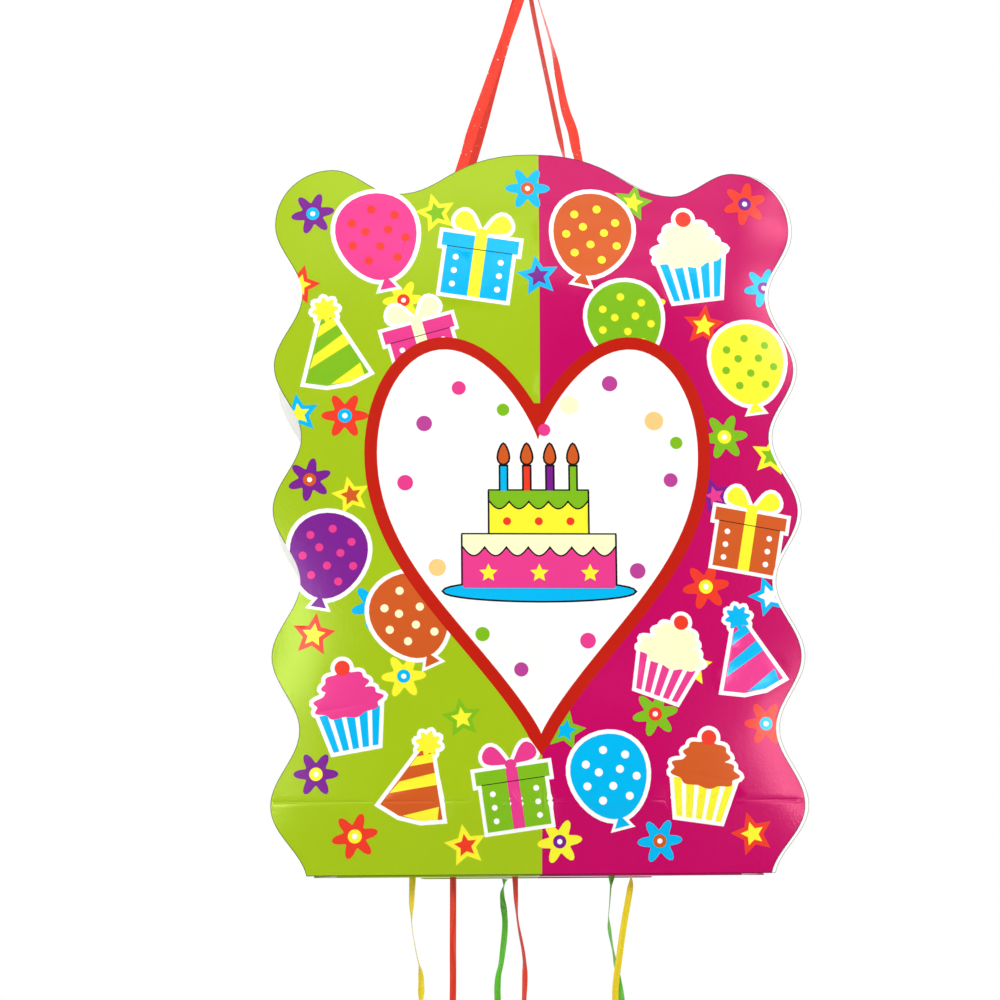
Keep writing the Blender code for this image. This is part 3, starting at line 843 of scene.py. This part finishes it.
# Petals round a middle: radius r (1 - d + d cos n t)
def blossom(radius, petals, dip, x=0.0, y=0.0):
    t = around(petals * 9)
    r = radius * (1 - dip + dip * np.cos(petals * t))
    return np.stack([x + r * np.cos(t), y + r * np.sin(t)], -1)


# A star: corners at the radius and at a share of it in turn
def star(radius, share=0.48, points=5):
    t = around(2 * points) + pi / 2
    r = radius * np.where(np.arange(2 * points) % 2, share, 1)
    return np.stack([r * np.cos(t), r * np.sin(t)], -1)


# The textbook heart, y = 13 cos t - 5 cos 2t - 2 cos 3t - cos 4t, to a width and height. It is plumper
# than the usual one, with x = 16 |sin t|^2.3 in place of 16 sin^3 t.
def heart(width, height, count=140):
    t = around(count)
    x = 16 * np.sign(np.sin(t)) * np.abs(np.sin(t)) ** 2.3
    y = 13 * np.cos(t) - 5 * np.cos(2 * t) - 2 * np.cos(3 * t) - np.cos(4 * t)
    y = (y - y.min()) / (y.max() - y.min())
    return np.stack([x * width / 32, y * height], -1)


balloonSpots = [
    (-0.21, 0.24), (0.0, 0.34), (0.21, 0.24), (-0.10, 0.13), (0.12, 0.11), (-0.25, 0.02),
    (0.27, 0.0), (0.01, -0.04), (-0.13, -0.16), (0.15, -0.18),
]


# Each motif is a list of (ink, line) about its own middle, one unit tall. The balloon's body is an egg,
# x = 0.39 sin t (1 + 0.15 cos t), y = 0.06 + 0.44 cos t.
def balloon(ink, spot):
    t = around(34)
    body = np.stack([0.39 * np.sin(t) * (1 + 0.15 * np.cos(t)), 0.06 + 0.44 * np.cos(t)], -1)
    neck = np.array([(-0.08, -0.47), (0.08, -0.47), (0.0, -0.34)])
    spots = [oval(x, y, 0.042, count=12) for x, y in balloonSpots]
    return [("white", grow(body, 0.045)), ("white", grow(neck, 0.035)), (ink, neck), (ink, body)] + [
        (spot, line) for line in spots
    ]


def gift(ink, band):
    box = rectangle(-0.38, -0.46, 0.38, 0.10)
    lid = rectangle(-0.44, 0.10, 0.44, 0.26)
    loops = [bowLoop(-1), bowLoop(1)]
    knot = oval(0, 0.30, 0.07, 0.06)
    dots = [oval(x, y, 0.035, count=12) for x in (-0.26, 0.26) for y in (-0.34, -0.18, -0.02)]
    parts = [("white", grow(line, 0.045)) for line in (box, lid, *loops)]
    parts += [(ink, box), (ink, lid), (band, rectangle(-0.07, -0.46, 0.07, 0.26))]
    parts += [("black", rectangle(-0.38, 0.095, 0.38, 0.105))]
    return parts + [(band, line) for line in (*loops, knot)] + [("white", line) for line in dots]


# Half a bow: a drop shape x = a (1 - cos t) / 2, y = b sin t (1 - cos t) / 2, tilted up
def bowLoop(way):
    t = around(22)
    reach = (1 - np.cos(t)) / 2
    x, y = 0.36 * reach, 0.17 * np.sin(t) * reach
    lean = radians(32)
    turned = np.stack([x * np.cos(lean) - y * np.sin(lean), x * np.sin(lean) + y * np.cos(lean)], -1)
    return turned * (way, 1) + (0, 0.29)


def partyHat(ink, spot):
    cone = np.array([
        (-0.34, -0.38), (-0.12, -0.45), (0.12, -0.45), (0.34, -0.38), (0.03, 0.34), (-0.03, 0.34),
    ])
    pompom = blossom(0.14, 8, 0.16, 0, 0.36)
    stripes = [
        np.array([(-0.27, -0.24), (-0.20, -0.10), (0.145, 0.08), (0.195, -0.04)]),
        np.array([(-0.135, 0.08), (-0.085, 0.20), (0.065, 0.27), (0.10, 0.185)]),
        np.array([(-0.08, -0.44), (0.12, -0.45), (0.29, -0.395), (0.27, -0.26)]),
    ]
    parts = [("white", grow(cone, 0.045)), ("white", grow(pompom, 0.04)), (ink, cone)]
    return parts + [(spot, line) for line in stripes] + [(spot, pompom)]


# A strip that widens upwards, from the middle and half width of its foot to those of its head
def taper(foot, footHalf, head, headHalf, low=-0.48, high=-0.06):
    return np.array([
        (foot - footHalf, low), (foot + footHalf, low), (head + headHalf, high), (head - headHalf, high),
    ])


def cupcake(ink, icing):
    cup = taper(0, 0.25, 0, 0.34)
    lower = blossom(0.40, 9, 0.07) * (1, 0.46) + (0, 0.04)
    upper = blossom(0.27, 8, 0.07) * (1, 0.60) + (0, 0.23)
    cherry = oval(0, 0.42, 0.085)
    parts = [("white", grow(line, 0.045)) for line in (cup, lower, upper, cherry)]
    pleats = [taper(0.25 * share, 0.02, 0.34 * share, 0.026) for share in (-0.66, -0.22, 0.22, 0.66)]
    parts += [(ink, cup)] + [("white", line) for line in pleats]
    return parts + [(icing, lower), (icing, upper), ("scarlet", cherry)]


def daisy(ink, spot):
    rings = [(spot, oval(0, 0, 0.15, count=14)), ("white", oval(0, 0, 0.06, count=8))]
    return [(ink, blossom(0.5, 6, 0.25))] + rings


def plainStar(ink, spot):
    return [(ink, star(0.5)), (spot, star(0.27))]


motifKinds = {
    "balloon": balloon, "gift": gift, "hat": partyHat, "cupcake": cupcake, "daisy": daisy,
    "star": plainStar,
}

# Kind, two inks, middle across and up in millimetres, height in millimetres, and tilt in degrees
motifs = [
    ("daisy", "purple", "cyan", -142, 419, 28, 10), ("star", "yellow", "leaf", -63, 420, 27, 14),
    ("daisy", "cyan", "orange", -4, 437, 29, 0), ("star", "leaf", "yellow", 64, 428, 26, -12),
    ("daisy", "scarlet", "purple", 137, 428, 29, 20), ("star", "cyan", "purple", 2, 378, 28, 8),
    ("daisy", "yellow", "scarlet", -84, 362, 27, 5), ("daisy", "yellow", "orange", 70, 358, 28, 15),
    ("star", "scarlet", "yellow", 108, 346, 28, -6), ("daisy", "cyan", "purple", 148, 372, 27, 12),
    ("star", "scarlet", "yellow", -150, 372, 27, -14), ("daisy", "scarlet", "cyan", -121, 287, 30, 0),
    ("star", "cyan", "yellow", -150, 288, 27, 9), ("daisy", "purple", "orange", -143, 246, 28, 20),
    ("star", "yellow", "orange", -117, 236, 25, 12), ("daisy", "leaf", "yellow", 120, 274, 30, 6),
    ("star", "yellow", "leaf", 150, 262, 27, -9), ("star", "purple", "rose", 113, 236, 24, 15),
    ("daisy", "scarlet", "yellow", 106, 178, 30, 9), ("star", "cyan", "white", 146, 172, 27, 18),
    ("daisy", "cyan", "scarlet", -102, 166, 30, 14), ("star", "scarlet", "yellow", -140, 148, 28, -8),
    ("daisy", "yellow", "cyan", -84, 122, 28, 3), ("star", "leaf", "yellow", -48, 96, 26, 8),
    ("daisy", "purple", "yellow", -138, 62, 28, 0), ("daisy", "scarlet", "yellow", -114, 24, 29, 12),
    ("star", "yellow", "scarlet", -46, 18, 27, 10), ("daisy", "yellow", "purple", 12, 20, 28, 7),
    ("star", "leaf", "cyan", 16, 88, 26, -12), ("daisy", "leaf", "scarlet", 72, 98, 29, 11),
    ("daisy", "cyan", "orange", 74, 20, 28, 4), ("star", "scarlet", "yellow", 132, 24, 28, 16),
    ("daisy", "scarlet", "cyan", 142, 92, 28, 0), ("star", "yellow", "rose", 96, 128, 26, -7),
    ("balloon", "rose", "scarlet", -100, 400, 66, 12), ("gift", "cyan", "yellow", -36, 390, 56, -8),
    ("balloon", "orange", "yellow", 36, 402, 64, -12), ("cupcake", "cyan", "cream", 100, 392, 60, 8),
    ("hat", "leaf", "yellow", -130, 334, 60, 10), ("balloon", "yellow", "leaf", 137, 318, 60, 8),
    ("balloon", "purple", "rose", -132, 194, 62, -10), ("gift", "orange", "yellow", 134, 212, 52, -10),
    ("cupcake", "cyan", "rose", -118, 104, 56, 10), ("hat", "orange", "yellow", -74, 60, 58, -14),
    ("gift", "leaf", "rose", -16, 52, 52, 8), ("balloon", "cyan", "white", 44, 56, 60, 14),
    ("cupcake", "yellow", "orange", 102, 60, 56, -8), ("hat", "rose", "cyan", 130, 138, 58, 12),
    ("gift", "rose", "cream", -72, 334, 52, 16), ("balloon", "leaf", "yellow", 58, 344, 60, 10),
    ("balloon", "orange", "cream", -78, 156, 62, 24), ("cupcake", "rose", "cream", 82, 134, 54, -20),
]

heartSettings = {
    "size": (0.2035, 0.2440),
    "foot": 0.0860,
    "middle": 0.0010,
    "border": 0.0080,
    "cakeFoot": 0.088,           # over the heart's tip
}

# Confetti on the heart: ink, distance across and up from its tip, and radius, in millimetres
confetti = [
    ("violet", -72, 196, 5), ("rose", -50, 219, 4.5), ("leaf", -22, 205, 4), ("cream", 20, 208, 6),
    ("violet", 46, 222, 5), ("peach", 74, 198, 6), ("rose", -84, 158, 5), ("violet", 84, 160, 4.5),
    ("leaf", 88, 184, 4), ("peach", -64, 104, 5.5), ("violet", 62, 102, 5), ("leaf", -36, 62, 4.5),
    ("rose", 30, 58, 5), ("violet", -12, 40, 4.5), ("rose", 4, 192, 4),
]


# A scalloped band across a tier, straight along its top, with round drips along its foot, which is down
# by drop x (0.55 + 0.45 |sin of half a turn to each drip|)
def icingBand(half, top, drop, drips):
    t = np.linspace(-1, 1, 12 * drips + 1)
    foot = top - drop * (0.55 + 0.45 * np.abs(np.sin(pi * drips * (t + 1) / 2)))
    return np.vstack([np.stack([t * half, foot], -1), [(half, top), (-half, top)]])


# A tier has its ink, half width, foot and top, and its icing an ink, half width, top, drop and drips
cakeSettings = {
    "plate": (0.060, 0.0060, 0.001),    # half sizes, and its height
    "tiers": [("rose", 0.048, 0.003, 0.036), ("yellow", 0.031, 0.036, 0.064)],
    "icings": [("cream", 0.048, 0.0370, 0.0130, 7), ("leaf", 0.031, 0.0650, 0.0110, 5)],
    "candles": [(-0.022, "cyan"), (-0.0073, "scarlet"), (0.0073, "purple"), (0.022, "leaf")],
    "candle": (0.0019, 0.0650, 0.0805), # half width, foot and top
    "flame": (0.0030, 0.0062, 0.0885),  # half sizes, and its height
    "stars": [(-0.032, 0.0125), (0, 0.0125), (0.032, 0.0125)],
    "starRadius": 0.0060,
    "dots": [(-0.020, 0.0455), (0, 0.0455), (0.020, 0.0455)],
    "dotRadius": 0.0026,
    "lines": (0.0012, 0.0010),   # black lines round the tiers and candles, and round the icing
}


# A flame: a drop x = a sin t (1 - 0.45 cos t), y = b cos t
def flame(x, y, a, b):
    t = around(16)
    return np.stack([x + a * np.sin(t) * (1 - 0.45 * np.cos(t)), y + b * np.cos(t)], -1)


# A two-tier birthday cake with candles, in metres about the middle of its foot
def cake(settings):
    wide, high, middle = settings["plate"]
    tiers = [("cyan", oval(0, middle, wide, high, 32))]
    tiers += [(ink, rectangle(-half, foot, half, top)) for ink, half, foot, top in settings["tiers"]]
    bands = [(ink, icingBand(*sizes)) for ink, *sizes in settings["icings"]]
    half, foot, top = settings["candle"]
    a, b, height = settings["flame"]
    candles = []
    for x, ink in settings["candles"]:
        candles += [(ink, rectangle(x - half, foot, x + half, top)), ("orange", flame(x, height, a, b))]
    stars = [("yellow", star(settings["starRadius"]) + place) for place in settings["stars"]]
    dots = [("scarlet", oval(x, y, settings["dotRadius"], count=12)) for x, y in settings["dots"]]
    thick, thin = settings["lines"]
    outlines = [("black", grow(line, thick)) for _, line in tiers + candles]
    icingLines = [("black", grow(line, thin)) for _, line in bands]
    return outlines + tiers + icingLines + bands + candles + stars + dots


# A motif's parts scaled, turned by the tilt and moved to (x, y)
def placed(parts, x, y, size, tilt):
    turn = radians(tilt)
    spin = np.array([(np.cos(turn), np.sin(turn)), (-np.sin(turn), np.cos(turn))])
    return [(ink, line * size @ spin + (x, y)) for ink, line in parts]


# The part of a closed line that lies right of the way from foot to head, and where it crosses that way
def rightOf(line, foot, head):
    way = np.subtract(head, foot)
    side = (line[:, 0] - foot[0]) * way[1] - (line[:, 1] - foot[1]) * way[0]
    after = np.roll(side, -1)
    crossed = side * after < 0
    share = np.where(crossed, side / np.where(side == after, 1, side - after), 0)
    crossing = line + share[:, None] * (np.roll(line, -1, 0) - line)
    return np.stack([line, crossing], 1).reshape(-1, 2)[np.stack([side > 0, crossed], 1).ravel()]


# The two tones of the ground meet on a line from foot to head
groundSettings = {"splitFoot": (0.0010, 0), "splitHead": (0.0033, faceTall)}


# Every layer of the print, first to last, in metres from the middle of the face's foot
def printLayers(shape):
    edge = outline(shape)
    split = groundSettings["splitFoot"], groundSettings["splitHead"]
    # A ring of painted edge shade runs round the outline, and the ground's two inks lie inside it
    ring = grow(edge, -shape["edgeShadeLine"])
    layers = [
        ("limeEdgeShade", edge), ("magentaEdgeShade", rightOf(edge, *split)),
        ("lime", ring), ("magenta", rightOf(ring, *split)),
    ]
    for kind, first, second, x, y, size, tilt in motifs:
        layers += placed(motifKinds[kind](first, second), x / 1000, y / 1000, size / 1000, tilt)
    middle, foot = heartSettings["middle"], heartSettings["foot"]
    plain = heart(*heartSettings["size"]) + (middle, foot)
    layers += [("border", grow(plain, heartSettings["border"])), ("white", plain)]
    layers += [(ink, oval(middle + x / 1000, foot + y / 1000, r / 1000)) for ink, x, y, r in confetti]
    return layers + placed(cake(cakeSettings), middle, foot + heartSettings["cakeFoot"], 1, 0)


# One sheet of card or print, so far behind the front of the face
def addSheet(name, turned, depth, thick, layers, finish, backInk, rimInk):
    mesh = sheetMesh(name, layers, depth, thick, turned, faceShape, faceForm, backInk, rimInk)
    return addPiece(name, mesh, finish, "box", name)


# White board inside a line of painted shade along its die-cut edge
def boardLayers(reveal):
    edge = outline(faceShape, reveal)
    return [("boardEdgeShade", edge), ("white", grow(edge, -faceShape["edgeShadeLine"]))]


printed = printLayers(faceShape)
boardDepth = faceShape["print"] + faceShape["seat"]
for place, turned in (("front", False), ("back", True)):
    addSheet(
        place + "_print", turned, 0, faceShape["print"], printed, "print", "white", "card",
    )
    reveal = -faceShape["reveal"] if turned else faceShape["reveal"]
    # The board's rim is painted in the edge shade too
    addSheet(
        place + "_board", turned, boardDepth, faceShape["board"], boardLayers(reveal), "board",
        "white", "boardEdgeShade",
    )
print("faces:", len(printed), "print layers,", len(motifs), "motifs")

wallSettings = {
    "card": 0.0008,
    "flap": 0.0130,
    "bulge": 0.0020,             # the middle fold stands out by this
    "corner": 0.0016,
    "rowStep": 0.010,
    "sway": 0.0003,              # how far the card wavers in and out along its height
}


# A bent line with each inner corner rounded by the curve (1-t)^2 a + 2 t (1-t) c + t^2 b
def roundedLine(points, radius, samples=6):
    points = np.asarray(points, float)
    t = np.linspace(0, 1, samples)[:, None]
    stretches = [points[:1]]
    for before, corner, after in zip(points, points[1:], points[2:]):
        a = corner + (before - corner) * radius / np.linalg.norm(before - corner)
        b = corner + (after - corner) * radius / np.linalg.norm(after - corner)
        stretches.append((1 - t) ** 2 * a + 2 * t * (1 - t) * corner + t**2 * b)
    return np.vstack(stretches + [points[-1:]])


# A folded channel: glue flap, front half, back half and glue flap as one bent line, closed at the card's
# thickness and carried up the wall. Its depth shrinks below the fold, as the faces' does, and it sways
# by sin 37 z x sin(11 z + side).
def addWall(name, side, settings):
    low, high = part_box(name)
    outer = high.x if side > 0 else -low.x
    flat, depth = outer - settings["bulge"], high.y
    bend = [
        (flat - settings["flap"], -depth), (flat, -depth), (outer, 0), (flat, depth),
        (flat - settings["flap"], depth),
    ]
    line = roundedLine(bend, settings["corner"])
    ahead = np.gradient(line, axis=0)
    inward = np.stack([-ahead[:, 1], ahead[:, 0]], -1) / np.linalg.norm(ahead, axis=1, keepdims=True)
    profile = np.vstack([line, (line + inward * settings["card"])[::-1]])
    heights = np.linspace(low.z, high.z, round((high.z - low.z) / settings["rowStep"]))
    below = np.clip(faceForm["fold"] - (heights - faceZ), 0, None) / faceForm["fold"]
    shrink = 1 - faceForm["tuck"] / faceY * below
    sway = settings["sway"] * np.sin(37 * heights) * np.sin(11 * heights + side)
    across = side * (profile[None, :, 0] + sway[:, None])
    back = profile[None, :, 1] * shrink[:, None]
    points = np.stack(np.broadcast_arrays(across, back, heights[:, None]), -1)
    addPiece(name, tubeMesh(name, points), "inner", "box", name)


addWall("left_wall", -1, wallSettings)
addWall("right_wall", 1, wallSettings)

# The folded top and bottom and their lids show in the frame's own shapes
for node, finish in (
    ("top_wall", "inner"), ("bottom_wall", "underside"), ("fill_flap", "inner"), ("trapdoor", "underside"),
):
    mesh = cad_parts[node].data
    mesh.materials.clear()
    mesh.materials.append(finishes[finish])
print("box: two walls, and the folded top, bottom and lids")

pullSettings = {"width": 0.0040, "spacing": 0.0022, "knotCord": 0.0020}

# Route from the exit, and turns as (distance along, degrees)
pullRibbons = {
    "yellow_left": {
        "ink": "yellow",
        "route": [
            (0, 0, 0), (-0.0006, 0, -0.026), (0.0020, 0.002, -0.045), (0.0050, 0.001, -0.060),
            (0.0050, 0, -0.080), (0.0030, -0.003, -0.135), (0.0060, 0.002, -0.200),
            (0.0020, 0.001, -0.265), (0.0030, 0, -0.325),
        ],
        "turns": [(0, 5), (0.012, 30), (0.030, 88), (0.052, 96), (0.064, 150), (0.080, 245), (0.135, 330),
                  (0.20, 375), (0.265, 450), (0.325, 540)],
    },
    "red_left": {
        "ink": "red",
        "route": [
            (0, 0, 0), (-0.0003, 0, -0.040), (-0.0006, 0.001, -0.080), (-0.0030, 0.002, -0.140),
            (0.0010, -0.001, -0.205), (-0.0030, 0, -0.270), (-0.0010, 0, -0.335),
        ],
        "turns": [(0, 0), (0.02, 14), (0.04, -6), (0.06, 12), (0.08, -4), (0.14, 70), (0.205, 160),
                  (0.27, 180), (0.335, 230)],
    },
    "red_middle": {
        "ink": "red",
        "route": [
            (0, 0, 0), (0.0012, 0, -0.026), (0.0050, 0.001, -0.048), (0.0056, 0, -0.062),
            (0.0048, 0, -0.080), (0.0020, 0.002, -0.140), (0.0060, -0.001, -0.205),
            (0.0030, 0, -0.260), (0.0040, 0, -0.315),
        ],
        "turns": [(0, 28), (0.010, 45), (0.026, 76), (0.040, 66), (0.052, 62), (0.062, 36), (0.078, 50),
                  (0.14, 20), (0.205, -60), (0.26, -120), (0.315, -180)],
    },
    "green_right": {
        "ink": "green",
        "route": [
            (0, 0, 0), (-0.0013, 0.001, -0.017), (-0.0020, 0.002, -0.031), (0.0010, 0.003, -0.050),
            (0.0040, 0.003, -0.066), (0.0060, 0.003, -0.085), (0.0100, 0.002, -0.140),
            (0.0070, 0.003, -0.205), (0.0100, 0.002, -0.265), (0.0080, 0.002, -0.325),
        ],
        "turns": [(0, 20), (0.008, 84), (0.024, 94), (0.034, 128), (0.046, 112), (0.060, 140),
                  (0.085, 180), (0.14, 250), (0.205, 330), (0.265, 360), (0.325, 400)],
    },
    "yellow_right": {
        "ink": "yellow",
        "route": [
            (0, 0, 0), (-0.0006, 0, -0.008), (-0.0050, 0, -0.031), (-0.0085, -0.001, -0.052),
            (-0.0108, -0.001, -0.068), (-0.0112, -0.001, -0.080), (-0.0130, -0.003, -0.140),
            (-0.0090, -0.001, -0.205), (-0.0120, -0.002, -0.270), (-0.0110, -0.002, -0.335),
        ],
        "turns": [(0, -78), (0.010, -14), (0.040, 8), (0.080, -6), (0.14, 40), (0.205, 120), (0.27, 180),
                  (0.335, 200)],
    },
}
releaseRibbon = {
    "ink": "green",
    "route": [
        (0, 0, 0), (-0.0006, 0.0016, -0.0034), (-0.0018, 0.0022, -0.010), (-0.0002, 0.001, -0.028),
        (-0.0026, 0, -0.050), (-0.0050, 0, -0.062), (-0.0050, 0, -0.080), (-0.0020, 0.002, -0.140),
        (-0.0060, 0.001, -0.205), (-0.0020, 0, -0.270), (-0.0030, 0, -0.330),
    ],
    "turns": [(0, 0), (0.0034, -80), (0.011, -42), (0.024, 30), (0.040, 24), (0.055, 40), (0.070, 8),
              (0.080, 0), (0.14, -50), (0.205, -130), (0.27, -180), (0.33, -200)],
}


# A ribbon that hangs free from its exit to its cut end
def addPullRibbon(name, node, knotNode, ribbon, body, knotBody, settings):
    knotLow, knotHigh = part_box(knotNode)
    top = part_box(node)[1].z
    exitPoint = np.array([(knotLow.x + knotHigh.x) / 2, (knotLow.y + knotHigh.y) / 2, top])
    line, at = evenly(smoothRoute(ribbon["route"]) + exitPoint, settings["spacing"])
    width = settings["width"]
    points = ribbonPoints(line, at, width, easedTurns(ribbon["turns"]))
    ink, slot = ribbon["ink"], ribbon["ink"] + "_ribbon"
    piece = addPiece(name, tubeMesh(name, points), ink, body, node)
    knot = addKnot(name + "Knot", knotNode, ink, knotBody, settings["knotCord"])


for place, ribbon in pullRibbons.items():
    addPullRibbon(
        "pullRibbon_" + place, "pull_ribbon_" + place, "pull_knot_" + place, ribbon, "box", "box",
        pullSettings,
    )
addPullRibbon(
    "releaseRibbon", "release_ribbon", "release_knot", releaseRibbon, "release_ribbon", "trapdoor",
    pullSettings,
)

hangSettings = {"width": 0.0070, "spacing": 0.0024, "topKnotCord": 0.0030, "hangKnotCord": 0.0052}

# Turns run from the slot up to the knot; sway is (share of the way up, sideways, towards the back)
hangRibbons = {
    "front_left": {"turns": [(0, 4), (0.045, -10), (0.09, 12), (0.15, -6), (0.172, -14)],
                   "sway": [(0, 0, 0), (0.24, -0.0007, 0), (0.33, -0.0016, 0), (0.52, -0.0011, 0.001),
                            (0.64, -0.0009, 0.001), (1, 0, 0)]},
    "front_right": {"turns": [(0, 0), (0.035, 36), (0.062, 10), (0.10, 40), (0.14, 68), (0.168, 76)],
                    "sway": [(0, 0, 0), (0.24, -0.0003, 0), (0.34, 0.0007, 0), (0.43, -0.0004, 0),
                             (0.55, 0.0006, 0), (0.66, 0.0018, 0), (0.85, 0.0010, 0), (1, 0, 0)]},
    "back_left": {"turns": [(0, 0), (0.05, 16), (0.10, -8), (0.15, 10), (0.172, 4)],
                  "sway": [(0, 0, 0), (0.35, 0.0012, 0), (0.7, -0.0006, 0), (1, 0, 0)]},
    "back_right": {"turns": [(0, 0), (0.030, 50), (0.050, 78), (0.075, 52), (0.12, 58), (0.168, 58)],
                   "sway": [(0, 0, 0), (0.4, -0.0006, 0), (0.8, -0.0010, 0), (1, 0, 0)]},
}
knotCord = hangSettings["hangKnotCord"]
hangKnot = addKnot("hangKnot", "hang_knot", "orange", "hanger", knotCord)


# A taut ribbon from its slot in the top up to the hanging knot, with a slight sway from the straight
def addHangRibbon(place, ribbon, settings):
    low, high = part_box("hang_ribbon_" + place)
    width = settings["width"]
    footX, headX = low.x + width / 2, high.x - width / 2
    if "left" not in place:
        footX, headX = headX, footX
    outer, inner = (low.y, high.y) if abs(low.y) > abs(high.y) else (high.y, low.y)
    foot = np.array([footX, outer, low.z])
    head = np.array([headX, inner, high.z])
    share, sideways, back = np.asarray(ribbon["sway"], float).T
    straight = foot + (head - foot) * share[:, None]
    route = straight + np.stack([sideways, back, 0 * back], -1)
    line, at = evenly(smoothRoute(route), settings["spacing"])
    points = ribbonPoints(line, at, width, easedTurns(ribbon["turns"]))
    name, node, knotNode = "hangRibbon_" + place, "hang_ribbon_" + place, "top_knot_" + place
    piece = addPiece(name, tubeMesh(name, points), "orange", "box", node)
    knot = addKnot(name + "Knot", knotNode, "orange", "box", settings["topKnotCord"])


for place, ribbon in hangRibbons.items():
    addHangRibbon(place, ribbon, hangSettings)

loopSettings = {"width": 0.0070, "closing": 0.94, "spacing": 0.0018, "samples": 121, "turn": 3}


# The hanging loop, a teardrop with u from -1 to 1: x = half width x sin(pi x closing x u), and z falls
# from the top by rise x (1 - cos(pi u / 2))
def addHangLoop(settings):
    low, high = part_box("hang_loop")
    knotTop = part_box("hang_knot")[1].z
    rise = high.z - ribbonThick / 2 - knotTop - ribbonThick
    u = np.linspace(-1, 1, settings["samples"])
    halfWide = (high.x - low.x - ribbonThick) / 2
    line = np.stack([
        halfWide * np.sin(pi * settings["closing"] * u), 0 * u,
        high.z - ribbonThick / 2 - rise * (1 - np.cos(pi / 2 * u)),
    ], -1)
    line, at = evenly(line, settings["spacing"])
    turns = [(0, 0), (at[-1] / 2, settings["turn"]), (at[-1], 0)]
    points = ribbonPoints(line, at, settings["width"], turns, across=(0, 1, 0), cup=0.0)
    mesh = tubeMesh("hangLoop", points)
    piece = addPiece("hangLoop", mesh, "orange", "hanger", "hang_loop")


addHangLoop(loopSettings)
print("cords: six pull ribbons, four hanging ribbons and the loop")
